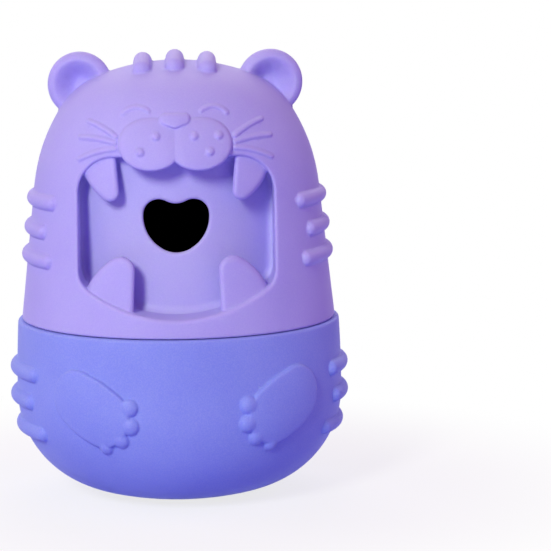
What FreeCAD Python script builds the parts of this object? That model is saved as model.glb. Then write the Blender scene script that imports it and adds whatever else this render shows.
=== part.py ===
import FreeCAD, Part
import math
import os
import re
import Sketcher
from FreeCAD import Vector

# Treat dispensing dog toy: a weighted silicone cup and an animal head that plugs into it.
# Millimetres and degrees. The origin is the centre of the foot on the floor, +Z is up,
# the face looks towards -Y and its left, seen from the front, is -X.

DIMENSIONS = {
    # Skin of the head, a turned dome: crown, shoulder and cheek arcs over a slightly tapered side
    "head_top_over_rim": (71.1, "height of the crown above the cup's rim"),
    "rim_proud": (1.1, "how far the cup's rim stands out beyond the head"),
    "side_slope": (6.4, "lean of the head's side from the upright"),
    "cheek_radius": (49.0, "arc above the straight side"),
    "cheek_angle": (32.7, "where the cheek arc hands over to the shoulder, above the level"),
    "shoulder_radius": (23.5, "arc between cheek and crown"),
    "crown_radius": (58.0, "arc over the crown"),
    "head_wall": (3.0, "silicone of the head"),
    "seam_gap": (0.3, "visible line between the head and the cup"),
    "relief_root": (1.2, "how deep the relief on head and cup is rooted in the skin"),
    # Skin of the cup: foot, tumbler arc, corner arc and bowed side
    "rim_height": (48.9, "height of the cup's rim"),
    "belly_radius": (45.2, "widest radius of the cup"),
    "side_bow": (0.6, "how far the belly stands out beyond the rim"),
    "corner_radius": (27.5, "arc between the side and the bottom"),
    "bottom_radius": (90.3, "rocking arc of the bottom"),
    "foot_radius": (15.0, "flat spot that the toy rests on"),
    "cup_wall": (3.6, "silicone of the cup"),
    "cup_floor": (4.0, "silicone under the weight"),
    # Push-fit neck between the halves
    "collar_seat_wall": (2.4, "silicone of the cup round its socket ring"),
    "collar_depth": (11.9, "height of the socket ring"),
    "socket_wall": (3.0, "socket ring, from bore to outside"),
    "lead_in": (0.6, "chamfer at the mouth of the socket"),
    "turning_clearance": (0.3, "gap between spigot and socket"),
    "spigot_depth": (9.4, "spigot below the rim"),
    "spigot_wall": (3.9, "spigot, from bore to outside"),
    "flange_thickness": (2.7, "head collar's flange above the rim"),
    "lip_thickness": (2.0, "silicone lip over the flange"),
    "lip_bore_radius": (36.0, "bore of that lip"),
    "ring_thickness": (2.2, "section of the seal ring"),
    "ring_drop": (4.6, "seal ring's middle below the rim"),
    "ring_clearance": (0.1, "seal ring to socket and to groove"),
    "groove_slack": (0.2, "room above and below the seal ring"),
    # Drum that holds the treats and shows as the back wall of the mouth
    "drum_radius": (32.0, "outside of the drum"),
    "drum_wall": (2.0, "wall of the drum"),
    "drum_top_over_rim": (58.1, "top of the drum above the rim"),
    "drum_corner": (9.0, "rounding at the top of the drum"),
    "drum_foot_height": (2.2, "foot flange that holds the drum under the collar"),
    "drum_foot_gap": (0.2, "foot flange to the spigot's bore"),
    # Heart-shaped outlet
    "heart_middle_over_rim": (31.7, "height of the two lobes' centres above the rim"),
    "heart_spread": (4.6, "lobe centre from the middle"),
    "heart_lobe_radius": (4.1, "rounding of a lobe"),
    "heart_depth": (10.1, "from the lobes' centres down to the point"),
    "heart_tip_radius": (7.1, "rounding of the point"),
    "heart_flank_radius": (9.9, "arc between lobe and point"),
    "heart_valley": (1.15, "valley below the lobes' tops"),
    # Mouth window and the wall that runs in from it to the drum
    "window_half_width": (26.2, "half the width of the mouth"),
    "window_height": (42.0, "height of the mouth"),
    "window_top_corner": (10.0, "rounding of the upper corners"),
    "window_floor_radius": (44.7, "arc of the lower lip"),
    "window_bottom_corner": (6.0, "rounding of the lower corners"),
    "mouth_sink": (6.5, "plane where the window has this size, inside the radius of the head's base"),
    "mouth_draft": (3.0, "draft of the wall inside the mouth"),
    "mouth_inner_end": (8.0, "where the cut of the mouth ends inside the drum's space, before the axis"),
    "mouth_outer_run": (12.0, "how far the cut of the mouth runs out in front"),
    "cut_overlap": (1.0, "how far cutting forms run past a face"),
    "return_wall": (2.6, "silicone of that wall"),
    # Fangs, four curved plates set back behind the lips
    "fang_setback": (1.2, "fang's face behind the skin"),
    "fang_thickness": (3.2, "plate of a fang"),
    "fang_root": (1.8, "how far a fang's root runs into the mouth's wall"),
    "upper_fang_inner": (14.9, "inner edge from the middle"),
    "upper_fang_tip_over_rim": (35.85, "height of the tip above the rim"),
    "upper_fang_tip_radius": (2.6, "rounding of the tip"),
    "upper_fang_outer": (24.6, "where the outer edge meets the side of the mouth"),
    "upper_fang_outer_height_over_rim": (42.5, "height of that meeting above the rim"),
    "upper_fang_bulge": (18.7, "arc of the outer edge"),
    "upper_fang_lean": (4.9, "lean of the inner edge from the upright, outwards at the root"),
    "lower_fang_inner": (11.05, "inner edge from the middle"),
    "lower_fang_tip_over_rim": (21.3, "height of the tip above the rim"),
    "lower_fang_tip_radius": (3.6, "rounding of the tip"),
    "lower_fang_outer": (24.8, "where the outer edge meets the side of the mouth"),
    "lower_fang_outer_height_over_rim": (10.2, "height of that meeting above the rim"),
    "lower_fang_bulge": (21.1, "arc of the outer edge"),
    "lower_fang_lean": (2.5, "lean of the inner edge from the upright, outwards at the root"),
    # Ears
    "ear_spread": (26.2, "ear's middle from the middle"),
    "ear_height_over_rim": (64.7, "ear's middle above the cup's rim"),
    "ear_radius": (9.0, "outside of an ear"),
    "ear_rim": (2.6, "rounding of the ear's rim"),
    "ear_dish": (2.2, "depth of the dished front"),
    "ear_back": (1.0, "swell of the back"),
    "ear_turn": (8.0, "how far an ear looks outwards"),
    # Tufts on the crown
    "tuft_width": (5.0, "a tuft across"),
    "tuft_rise": (0.4, "tuft's middle above the skin"),
    "tuft_spread": (8.8, "outer tufts from the middle"),
    "tuft_front": (13.6, "front end of a tuft before the axis"),
    "tuft_length": (14.0, "between the centres of a tuft's ends"),
    # Muzzle and nose
    "muzzle_spread": (7.0, "lobe's middle from the middle"),
    "muzzle_height_over_rim": (50.1, "lobe's middle above the cup's rim"),
    "muzzle_sink": (10.1, "lobe's middle inside the radius of the head's base"),
    "muzzle_half_width": (8.6, "half a lobe's width"),
    "muzzle_half_height": (7.1, "half a lobe's height"),
    "muzzle_half_depth": (4.6, "half a lobe's depth"),
    "muzzle_turn": (11.6, "how far a lobe looks outwards"),
    "muzzle_lean": (22.0, "how far a lobe looks upwards"),
    "nose_top_over_rim": (58.85, "flat top of the nose above the rim"),
    "nose_corner_x": (2.75, "upper corner's centre from the middle"),
    "nose_corner_radius": (1.2, "rounding of an upper corner"),
    "nose_tip_radius": (1.75, "rounding of the nose's point"),
    "nose_depth": (4.0, "from the flat top down to the point"),
    "nose_proud": (2.4, "nose's face above the skin"),
    "freckle_radius": (1.1, "rounding of a freckle"),
    "freckle_sink": (0.5, "freckle's middle below the lobe's skin"),
    "freckle_inner_x": (-3.0, "freckle by the groove, from the lobe's middle"),
    "freckle_inner_z": (1.6, "its height over the lobe's middle"),
    "freckle_outer_x": (3.4, "freckle by the whiskers"),
    "freckle_outer_z": (2.2, "its height"),
    "freckle_low_x": (1.2, "lowest freckle"),
    "freckle_low_z": (-2.8, "its height"),
    # Closed eyes, two bowed lines in relief, seen from the front
    "eye_x": (9.85, "eye's middle from the middle"),
    "eye_z_over_rim": (60.55, "height of the bow's top above the rim"),
    "eye_bow": (5.5, "radius of the bow"),
    "eye_half_angle": (42.0, "from the bow's middle to an end"),
    "eye_lean": (6.0, "how far the bow's middle lies turned outwards from its top"),
    "eye_line": (0.4, "half the line's width"),
    # Whiskers, three raised lines a side
    "whisker_line": (0.65, "half a whisker's width"),
    "whisker_high_out_x": (22.8, "outer end from the middle"),
    "whisker_high_out_z_over_rim": (56.2, "height of the outer end above the rim"),
    "whisker_high_in_x": (15.8, "inner end from the middle"),
    "whisker_high_in_z_over_rim": (52.4, "height of the inner end above the rim"),
    "whisker_middle_out_x": (25.2, "outer end from the middle"),
    "whisker_middle_out_z_over_rim": (52.1, "height of the outer end above the rim"),
    "whisker_middle_in_x": (16.2, "inner end from the middle"),
    "whisker_middle_in_z_over_rim": (50.6, "height of the inner end above the rim"),
    "whisker_low_out_x": (25.4, "outer end from the middle"),
    "whisker_low_out_z_over_rim": (46.4, "height of the outer end above the rim"),
    "whisker_low_in_x": (15.9, "inner end from the middle"),
    "whisker_low_in_z_over_rim": (49.4, "height of the inner end above the rim"),
    "line_rise": (0.6, "face of eye and whisker lines above the skin"),
    # Ridges on the flanks, three a side on each half
    "ridge_width": (4.2, "a ridge across"),
    "head_ridge_rise": (-0.4, "a head ridge's middle above the skin"),
    "cup_ridge_rise": (0.2, "a cup ridge's middle above the skin"),
    "head_ridge_low_over_rim": (18.4, "lowest head ridge above the rim"),
    "head_ridge_middle_over_rim": (26.0, "middle head ridge above the rim"),
    "head_ridge_high_over_rim": (34.0, "highest head ridge above the rim"),
    "head_ridge_low_span": (66.0, "angle that the lowest head ridge covers"),
    "head_ridge_middle_span": (55.0, "angle that the middle head ridge covers"),
    "head_ridge_high_span": (66.0, "angle that the highest head ridge covers"),
    "cup_ridge_low": (19.8, "lowest cup ridge"),
    "cup_ridge_middle": (27.9, "middle cup ridge"),
    "cup_ridge_high": (35.7, "highest cup ridge"),
    "cup_ridge_low_span": (61.0, "angle that the lowest cup ridge covers"),
    "cup_ridge_middle_span": (48.0, "angle that the middle cup ridge covers"),
    "cup_ridge_high_span": (53.0, "angle that the highest cup ridge covers"),
    # Paws on the front of the cup
    "cup_turn": (3.3, "how far the cup stands turned under the face"),
    "paw_azimuth": (35.0, "direction that the palms look in, from the front"),
    "palm_heel_azimuth": (39.3, "palm's upper end from the front"),
    "palm_heel_height": (32.2, "its height"),
    "palm_heel_radius": (7.5, "its rounding"),
    "palm_ball_azimuth": (30.4, "palm's end at the toes from the front"),
    "palm_ball_height": (27.8, "its height"),
    "palm_ball_radius": (8.5, "its rounding"),
    "palm_rise": (1.1, "palm's face above the skin"),
    "palm_reach": (6.0, "how far the palm's block runs out and in before it is trimmed"),
    "toe_inner_azimuth": (19.9, "toe nearest the middle, angle from the front"),
    "toe_inner_height": (31.4, "its height"),
    "toe_second_azimuth": (19.2, "second toe"),
    "toe_second_height": (26.5, "its height"),
    "toe_third_azimuth": (23.1, "third toe"),
    "toe_third_height": (21.7, "its height"),
    "toe_outer_azimuth": (28.7, "outermost toe"),
    "toe_outer_height": (19.3, "its height"),
    "toe_radius": (2.2, "the two upper toes"),
    "toe_small_radius": (1.8, "the two lower toes"),
    "toe_rise": (0.4, "a toe's middle above the skin"),
    # Weight, its housing and cover
    "housing_skin": (2.4, "wall of the housing's bowl"),
    "housing_rim": (1.6, "rim round the cover, at the cover's seat"),
    "pocket_floor": (7.0, "height of the weight's seat"),
    "pocket_wall": (2.0, "ring wall round the weight"),
    "weight_radius": (24.0, "steel disc"),
    "weight_height": (6.0, "thickness of the disc"),
    "weight_chamfer": (0.6, "edge of the disc"),
    "weight_play": (0.3, "disc to the ring wall"),
    "cover_seat": (15.0, "height of the cover's seat"),
    "cover_edge": (2.4, "cover's thickness at the edge"),
    "cover_dish": (0.9, "how far the cover's middle lies lower"),
    "cover_play": (0.2, "cover to the housing's rim"),
    "hold_down_radius": (10.0, "ring under the cover that keeps the disc down"),
    "hold_down_wall": (2.0, "wall of that ring"),
    "hold_down_play": (0.1, "ring to disc"),
}

TOES = {
    "toe_inner": "toe_radius",
    "toe_second": "toe_radius",
    "toe_third": "toe_small_radius",
    "toe_outer": "toe_small_radius",
}
# Freckles on both lobes; the outer one is on the +X lobe only
FRECKLES = ("freckle_inner", "freckle_low")
WHISKERS = ("whisker_high", "whisker_middle", "whisker_low")

doc = FreeCAD.newDocument("treat_toy")
dims = doc.addObject("Spreadsheet::Sheet", "dims")
for row, (alias, (size, note)) in enumerate(DIMENSIONS.items(), start=1):
    dims.set("A%d" % row, note)
    dims.set("B%d" % row, str(size))
    dims.setAlias("B%d" % row, alias)
places = doc.addObject("App::VarSet", "places")
doc.recompute()
derived_names = []


def full(text):
    """Put the sheet's or the place list's name before each size named in an expression."""
    def owner(found):
        name = found.group(0)
        if name in DIMENSIONS:
            return "dims." + name
        if name in derived_names:
            return "places." + name
        return name
    return re.sub(r"[a-z_][a-z_0-9]*", owner, str(text))


def value(text):
    return float(dims.evalExpression(full(text)))


def derive(name, text, kind="App::PropertyFloat"):
    """Name a place or size that follows from the sheet."""
    places.addProperty(kind, name)
    places.setExpression(name, full(text))
    derived_names.append(name)
    doc.recompute()


def bind(thing, **sizes):
    for name, text in sizes.items():
        thing.setExpression(name, full(text))


def spot(x, y, z, yaw="0", pitch="0", roll="0"):
    return "placement(vector(%s; %s; %s); rotation(%s; %s; %s))" % (x, y, z, yaw, pitch, roll)


def place(thing, *where, within=""):
    """Put a piece at a spot, or at a spot within the frame of another."""
    thing.setExpression("Placement", full(within + (" * " if within else "") + spot(*where)))


class Outline:
    """Closed outline of lines and arcs whose corners are expressions of the sheet."""

    def __init__(self, across, up):
        self.corners = [(across, up)]
        self.edges = []

    def line(self, across, up):
        self.edges.append(None)
        self.corners.append((across, up))
        return self

    def arc(self, across, up, centre, radius, clockwise=False):
        self.edges.append((centre, radius, clockwise))
        self.corners.append((across, up))
        return self

    def close(self):
        self.edges.append(None)
        return self

    def draw(self, sketch):
        """Add the edges to a sketch, pin each corner to its expressions and join the ends."""
        count = len(self.corners)
        points = [Vector(value(across), value(up), 0) for across, up in self.corners]
        for number, edge in enumerate(self.edges):
            start = points[number]
            end = points[(number + 1) % count]
            if edge is None:
                sketch.addGeometry(Part.LineSegment(start, end), False)
                continue
            (across, up), radius, clockwise = edge
            middle = Vector(value(across), value(up), 0)
            circle = Part.Circle(middle, Vector(0, 0, 1), value(radius))
            first, last = (end, start) if clockwise else (start, end)
            low = circle.parameter(first)
            high = circle.parameter(last)
            if high < low:
                low -= 2 * math.pi
            sketch.addGeometry(Part.ArcOfCircle(circle, low, high), False)
        for number, edge in enumerate(self.edges):
            begin = 2 if edge and edge[2] else 1
            finish = 3 - begin
            after = (number + 1) % len(self.edges)
            after_begin = 2 if self.edges[after] and self.edges[after][2] else 1
            sketch.addConstraint(Sketcher.Constraint("Coincident", number, finish, after, after_begin))
            for kind, text, size in zip(("DistanceX", "DistanceY"), self.corners[number], points[number]):
                pin = sketch.addConstraint(Sketcher.Constraint(kind, -1, 1, number, begin, size))
                sketch.setExpression("Constraints[%d]" % pin, full(text))
            if edge:
                pin = sketch.addConstraint(Sketcher.Constraint("Radius", number, value(edge[1])))
                sketch.setExpression("Constraints[%d]" % pin, full(edge[1]))


def body_sketch(body, name, outline, plane):
    sketch = body.newObject("Sketcher::SketchObject", name)
    for feature in body.Origin.OriginFeatures:
        if feature.Role == plane:
            sketch.AttachmentSupport = [(feature, "")]
    sketch.MapMode = "FlatFace"
    outline.draw(sketch)
    return sketch


def turned(name, outline, plane="YZ_Plane"):
    """A body whose outline is turned round the upright axis of its sketch, with its seam at the back."""
    body = doc.addObject("PartDesign::Body", name)
    sketch = body_sketch(body, name + "_outline", outline, plane)
    turning = body.newObject("PartDesign::Revolution", name + "_turned")
    turning.Profile = sketch
    turning.ReferenceAxis = (sketch, ["V_Axis"])
    turning.Angle = 360
    body.Tip = turning
    return body


def prism(name, outline, middle, inward, outward, azimuth="0", draft="0"):
    """An upright outline run inward and outward from a plane in front of the axis."""
    sketch = doc.addObject("Sketcher::SketchObject", name + "_outline")
    place(sketch, "(%s) * sin(%s)" % (middle, azimuth), "-(%s) * cos(%s)" % (middle, azimuth), "0",
          azimuth, "0", "90")
    outline.draw(sketch)
    solid = doc.addObject("Part::Extrusion", name)
    solid.Base = sketch
    solid.DirMode = "Normal"
    solid.Solid = True
    bind(solid, LengthFwd=outward, LengthRev=inward, TaperAngle=draft, TaperAngleRev="-(%s)" % draft)
    return solid


def mouth_prism(name, outline, draft="0"):
    """An outline in the mouth's plane, run through the front of the head."""
    return prism(name, outline, "mouth_plane", "mouth_plane - mouth_inner_end", "mouth_outer_run", "0", draft)


def fused(name, solids):
    join = doc.addObject("Part::MultiFuse", name)
    join.Shapes = solids
    join.Refine = False
    return join


def cut(name, base, tool):
    difference = doc.addObject("Part::Cut", name)
    difference.Base = base
    difference.Tool = tool
    return difference


def common(name, base, tool):
    overlap = doc.addObject("Part::Common", name)
    overlap.Base = base
    overlap.Tool = tool
    return overlap


def cylinder(name, radius, bottom, top):
    round_bar = doc.addObject("Part::Cylinder", name)
    bind(round_bar, Radius=radius, Height="(%s) - (%s)" % (top, bottom))
    place(round_bar, "0", "0", bottom)
    return round_bar


def ellipsoid(name, half_width, half_depth, half_height, *where):
    egg = doc.addObject("Part::Ellipsoid", name)
    bind(egg, Radius2=half_width, Radius3=half_depth, Radius1=half_height)
    place(egg, *where)
    return egg


def ball(name, radius, *where, within=""):
    round_end = doc.addObject("Part::Sphere", name)
    bind(round_end, Radius=radius)
    place(round_end, *where, within=within)
    return round_end


def tube(name, ring_radius, radius, span, *where):
    """A stretch of a ring, from its own X axis round to a span."""
    bar = doc.addObject("Part::Torus", name)
    bar.Angle1 = -180
    bar.Angle2 = 180
    bind(bar, Radius1=ring_radius, Radius2=radius, Angle3=span)
    place(bar, *where)
    return bar


def mirrored(name, source, turn="0"):
    """The same piece on the other side of the middle plane, which may stand turned about the axis."""
    twin = doc.addObject("Part::Mirroring", name)
    twin.Source = source
    twin.Base = Vector(0, 0, 0)
    twin.Normal = Vector(1, 0, 0)
    twin.setExpression("Normal.x", full("cos(%s)" % turn))
    twin.setExpression("Normal.y", full("sin(%s)" % turn))
    return twin


def polar(centre, radius, angle):
    across, up = centre
    return ("%s + (%s) * cos(%s)" % (across, radius, angle), "%s + (%s) * sin(%s)" % (up, radius, angle))


# Heights on the head, which stands on the cup's rim
ON_HEAD = ("head_top", "drum_top", "heart_middle", "upper_fang_tip", "upper_fang_outer_height",
           "lower_fang_tip", "lower_fang_outer_height", "ear_height", "muzzle_height", "nose_top", "eye_z",
           "whisker_high_out_z", "whisker_high_in_z", "whisker_middle_out_z", "whisker_middle_in_z",
           "whisker_low_out_z", "whisker_low_in_z", "head_ridge_low", "head_ridge_middle", "head_ridge_high")
for height_name in ON_HEAD:
    derive(height_name, "rim_height + %s_over_rim" % height_name)

# The head sits on the rim, a little inside it
derive("rim_radius", "belly_radius - side_bow")
derive("head_base_radius", "rim_radius - rim_proud")
derive("mouth_plane", "head_base_radius - mouth_sink")
derive("muzzle_reach", "head_base_radius - muzzle_sink")

# Places on the head's skin
derive("crown_middle", "head_top - crown_radius")
derive("crown_lean", "(head_base_radius * cos(side_slope) + (rim_height - crown_middle) * sin(side_slope)"
       " - cheek_radius + (cheek_radius - shoulder_radius) * cos(cheek_angle - side_slope))"
       " / (crown_radius - shoulder_radius)")
derive("crown_angle", "side_slope * 1 deg + acos(crown_lean)", "App::PropertyAngle")
derive("shoulder_x", "(crown_radius - shoulder_radius) * cos(crown_angle)")
derive("shoulder_z", "crown_middle + (crown_radius - shoulder_radius) * sin(crown_angle)")
derive("cheek_x", "shoulder_x - (cheek_radius - shoulder_radius) * cos(cheek_angle)")
derive("cheek_z", "shoulder_z - (cheek_radius - shoulder_radius) * sin(cheek_angle)")
derive("head_foot", "rim_height + seam_gap")


def side_radius_at(height):
    return "(head_base_radius - ((%s) - rim_height) * tan(side_slope))" % height


def dome_outline(inset, foot):
    """Half section of the head's skin, or of the same form set in by a wall."""
    cheek = ("cheek_x", "cheek_z")
    shoulder = ("shoulder_x", "shoulder_z")
    edge = "%s - (%s) / cos(side_slope)" % (side_radius_at(foot), inset)
    outline = Outline("0", foot).line(edge, foot)
    outline.line(*polar(cheek, "cheek_radius - (%s)" % inset, "side_slope"))
    outline.arc(*polar(cheek, "cheek_radius - (%s)" % inset, "cheek_angle"),
                cheek, "cheek_radius - (%s)" % inset)
    outline.arc(*polar(shoulder, "shoulder_radius - (%s)" % inset, "crown_angle"),
                shoulder, "shoulder_radius - (%s)" % inset)
    outline.arc("0", "head_top - (%s)" % inset, ("0", "crown_middle"), "crown_radius - (%s)" % inset)
    return outline.close()


# Places on the cup's skin
derive("bottom_middle", "sqrt(bottom_radius ^ 2 - foot_radius ^ 2)")
derive("corner_x", "belly_radius - corner_radius")
derive("corner_z", "bottom_middle - sqrt((bottom_radius - corner_radius) ^ 2 - corner_x ^ 2)")
derive("corner_start", "-acos(corner_x / (bottom_radius - corner_radius))", "App::PropertyAngle")
derive("side_radius", "((rim_height - corner_z) ^ 2 + side_bow ^ 2) / (2 * side_bow)")
derive("collar_foot", "rim_height - collar_depth")
derive("collar_radius", "rim_radius - collar_seat_wall")


def cup_radius_at(height, inset="0"):
    """Radius of the corner arc at a height, for what lies below the belly."""
    return "(corner_x + sqrt((corner_radius - (%s)) ^ 2 - (corner_z - (%s)) ^ 2))" % (inset, height)


def cup_side_at(height, inset="0"):
    """Radius of the bowed side at a height above the belly."""
    return ("(belly_radius - side_radius + sqrt((side_radius - (%s)) ^ 2 - ((%s) - corner_z) ^ 2))"
            % (inset, height))


derive("floor_radius", "sqrt((bottom_radius - cup_wall) ^ 2 - (bottom_middle - cup_floor) ^ 2)")
BOTTOM = ("0", "bottom_middle")
CORNER = ("corner_x", "corner_z")
SIDE = ("belly_radius - side_radius", "corner_z")


def cup_bowl():
    outline = Outline("0", "0").line("foot_radius", "0")
    outline.arc(*polar(BOTTOM, "bottom_radius", "corner_start"), BOTTOM, "bottom_radius")
    outline.arc("belly_radius", "corner_z", CORNER, "corner_radius")
    outline.arc("rim_radius", "rim_height", SIDE, "side_radius")
    outline.line("collar_radius", "rim_height")
    outline.line("collar_radius", "collar_foot")
    outline.line(cup_side_at("collar_foot", "cup_wall"), "collar_foot")
    outline.arc("belly_radius - cup_wall", "corner_z", SIDE, "side_radius - cup_wall", True)
    outline.arc(*polar(BOTTOM, "bottom_radius - cup_wall", "corner_start"),
                CORNER, "corner_radius - cup_wall", True)
    outline.arc("floor_radius", "cup_floor", BOTTOM, "bottom_radius - cup_wall", True)
    outline.line("0", "cup_floor")
    return turned("cup_bowl", outline.close())


def cup_form(name, inset):
    """The filled cup set in by a depth, or grown by one below zero, which trims what stands on the skin."""
    foot = "sqrt((bottom_radius - (%s)) ^ 2 - (bottom_middle - (%s)) ^ 2)" % (inset, inset)
    outline = Outline("0", inset).line(foot, inset)
    outline.arc(*polar(BOTTOM, "bottom_radius - (%s)" % inset, "corner_start"),
                BOTTOM, "bottom_radius - (%s)" % inset)
    outline.arc("belly_radius - (%s)" % inset, "corner_z", CORNER, "corner_radius - (%s)" % inset)
    outline.arc(cup_side_at("rim_height", inset), "rim_height", SIDE, "side_radius - (%s)" % inset)
    outline.line("0", "rim_height")
    return turned(name, outline.close())


def ridge(name, ring_radius, height, span, middle):
    """A round level ridge with ball ends, centred on an angle from the front."""
    start = "(%s) - 90 - (%s) / 2" % (middle, span)
    pieces = [tube(name + "_bar", ring_radius, "ridge_width / 2", span, "0", "0", height, start)]
    for word, angle in (("_front", start), ("_rear", "(%s) - 90 + (%s) / 2" % (middle, span))):
        pieces.append(ball(name + word, "ridge_width / 2", "(%s) * cos(%s)" % (ring_radius, angle),
                           "(%s) * sin(%s)" % (ring_radius, angle), height))
    return fused(name, pieces)


# Outline of a palm, the hull of a heel circle and a ball circle, on a plane in front of the skin
derive("palm_heel_x", "belly_radius * sin(palm_heel_azimuth - paw_azimuth)")
derive("palm_ball_x", "belly_radius * sin(palm_ball_azimuth - paw_azimuth)")
derive("palm_run", "palm_ball_x - palm_heel_x")
derive("palm_fall", "palm_ball_height - palm_heel_height")
derive("palm_lean", "atan2(palm_fall; palm_run)", "App::PropertyAngle")
derive("palm_open", "acos((palm_heel_radius - palm_ball_radius) / sqrt(palm_run ^ 2 + palm_fall ^ 2))",
       "App::PropertyAngle")


def hull_outline(first, first_radius, second, second_radius, lean, opening):
    """Two circles and the two lines that touch both; lean is the way from the first to the second."""
    outline = Outline(*polar(first, first_radius, "%s + %s" % (lean, opening)))
    outline.arc(*polar(first, first_radius, lean + " + 180 deg"), first, first_radius)
    outline.arc(*polar(first, first_radius, "%s - %s" % (lean, opening)), first, first_radius)
    outline.line(*polar(second, second_radius, "%s - %s" % (lean, opening)))
    outline.arc(*polar(second, second_radius, lean), second, second_radius)
    outline.arc(*polar(second, second_radius, "%s + %s" % (lean, opening)), second, second_radius)
    return outline.close()


def paws():
    """The +X paw, a palm pad with four toes, and its twin on the other side of the cup's own middle."""
    outline = hull_outline(("palm_heel_x", "palm_heel_height"), "palm_heel_radius",
                           ("palm_ball_x", "palm_ball_height"), "palm_ball_radius", "palm_lean", "palm_open")
    block = prism("palm_block", outline, "belly_radius", "palm_reach", "palm_reach", "paw_azimuth + cup_turn")
    pads = [common("right_palm", block, cup_form("palm_face", "-palm_rise"))]
    for toe, radius in TOES.items():
        turn = toe + "_azimuth + cup_turn"
        height = toe + "_height"
        reach = "(%s + toe_rise)" % cup_radius_at(height)
        pads.append(ball("right_" + toe, radius, "%s * sin(%s)" % (reach, turn),
                         "-%s * cos(%s)" % (reach, turn), height, turn))
    right = fused("right_paw", pads)
    return [right, mirrored("left_paw", right, "cup_turn")]


def base_cup():
    bowl = cup_bowl()
    relief = paws()
    skins = {
        "cup_ridge_high": cup_side_at("cup_ridge_high"),
        "cup_ridge_middle": cup_radius_at("cup_ridge_middle"),
        "cup_ridge_low": cup_radius_at("cup_ridge_low"),
    }
    for side, word in ((1, "right_"), (-1, "left_")):
        for level, skin in skins.items():
            relief.append(ridge(word + level, skin + " + cup_ridge_rise", level, level + "_span",
                                "(%d * 90 + cup_turn)" % side))
    trimmed = cut("cup_relief", fused("cup_relief_whole", relief), cup_form("cup_core", "relief_root"))
    return fused("base_cup", [bowl, trimmed])


# Places of the neck
derive("socket_radius", "collar_radius - socket_wall")
derive("spigot_radius", "socket_radius - turning_clearance")
derive("spigot_bore", "spigot_radius - spigot_wall")
derive("flange_radius", "head_base_radius - head_wall / cos(side_slope)")
derive("flange_top", "rim_height + flange_thickness")
derive("ring_middle_radius", "socket_radius - ring_clearance - ring_thickness / 2")
derive("ring_height", "rim_height - ring_drop")
derive("groove_radius", "ring_middle_radius - ring_thickness / 2 - ring_clearance")
derive("groove_half", "ring_thickness / 2 + groove_slack")


def base_collar():
    outline = Outline("socket_radius", "collar_foot").line("collar_radius", "collar_foot")
    outline.line("collar_radius", "rim_height").line("socket_radius + lead_in", "rim_height")
    outline.line("socket_radius", "rim_height - lead_in")
    return turned("base_collar", outline.close())


def head_collar():
    foot = "rim_height - spigot_depth"
    outline = Outline("spigot_bore", foot).line("spigot_radius - lead_in", foot)
    outline.line("spigot_radius", foot + " + lead_in")
    outline.line("spigot_radius", "ring_height - groove_half")
    outline.line("groove_radius", "ring_height - groove_half")
    outline.line("groove_radius", "ring_height + groove_half")
    outline.line("spigot_radius", "ring_height + groove_half")
    outline.line("spigot_radius", "rim_height").line("flange_radius", "rim_height")
    outline.line("flange_radius", "flange_top").line("drum_radius", "flange_top")
    outline.line("drum_radius", "rim_height").line("spigot_bore", "rim_height")
    return turned("head_collar", outline.close())


def seal_ring():
    ring = doc.addObject("Part::Torus", "seal_ring")
    bind(ring, Radius1="ring_middle_radius", Radius2="ring_thickness / 2")
    place(ring, "0", "0", "ring_height")
    return ring


# Places of the heart: the circles of lobe and point lie inside the flank circle, whose centre follows
# from its distances to theirs
derive("heart_rise", "heart_depth - heart_tip_radius")
derive("heart_link", "sqrt(heart_spread ^ 2 + heart_rise ^ 2)")
derive("heart_along", "((heart_flank_radius - heart_lobe_radius) ^ 2"
       " - (heart_flank_radius - heart_tip_radius) ^ 2 + heart_link ^ 2) / (2 * heart_link)")
derive("heart_aside", "sqrt((heart_flank_radius - heart_lobe_radius) ^ 2 - heart_along ^ 2)")
derive("flank_x", "heart_spread - (heart_along * heart_spread + heart_aside * heart_rise) / heart_link")
derive("flank_z", "heart_middle - (heart_along * heart_rise - heart_aside * heart_spread) / heart_link")
derive("heart_dip", "heart_lobe_radius - heart_valley")
derive("valley_radius", "(heart_spread ^ 2 + heart_dip ^ 2 - heart_lobe_radius ^ 2) / (2 * heart_valley)")
derive("valley_z", "heart_middle + heart_dip + valley_radius")


def heart():
    """Outline of the outlet: point, two flanks, two lobes and the valley between them, all tangent."""
    tip = ("0", "heart_middle - heart_depth + heart_tip_radius")
    lobe = ("heart_spread", "heart_middle")
    def toward(start, end, reach):
        """Point on the way from one centre past another, at a reach from the first."""
        span = "sqrt((%s - (%s)) ^ 2 + (%s - (%s)) ^ 2)" % (end[0], start[0], end[1], start[1])
        return ("%s + ((%s) - (%s)) * (%s) / %s" % (start[0], end[0], start[0], reach, span),
                "%s + ((%s) - (%s)) * (%s) / %s" % (start[1], end[1], start[1], reach, span))

    flank = ("flank_x", "flank_z")
    valley = ("0", "valley_z")
    tip_end = toward(flank, tip, "heart_flank_radius")
    lobe_start = toward(flank, lobe, "heart_flank_radius")
    lobe_end = toward(valley, lobe, "valley_radius")

    def other(point):
        return ("-(%s)" % point[0], point[1])

    outline = Outline(*other(tip_end)).arc(*tip_end, tip, "heart_tip_radius")
    outline.arc(*lobe_start, flank, "heart_flank_radius")
    outline.arc(*lobe_end, lobe, "heart_lobe_radius")
    outline.arc(*other(lobe_end), valley, "valley_radius", True)
    outline.arc(*other(lobe_start), other(lobe), "heart_lobe_radius")
    outline.edges.append((other(flank), "heart_flank_radius", False))
    return outline


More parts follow.
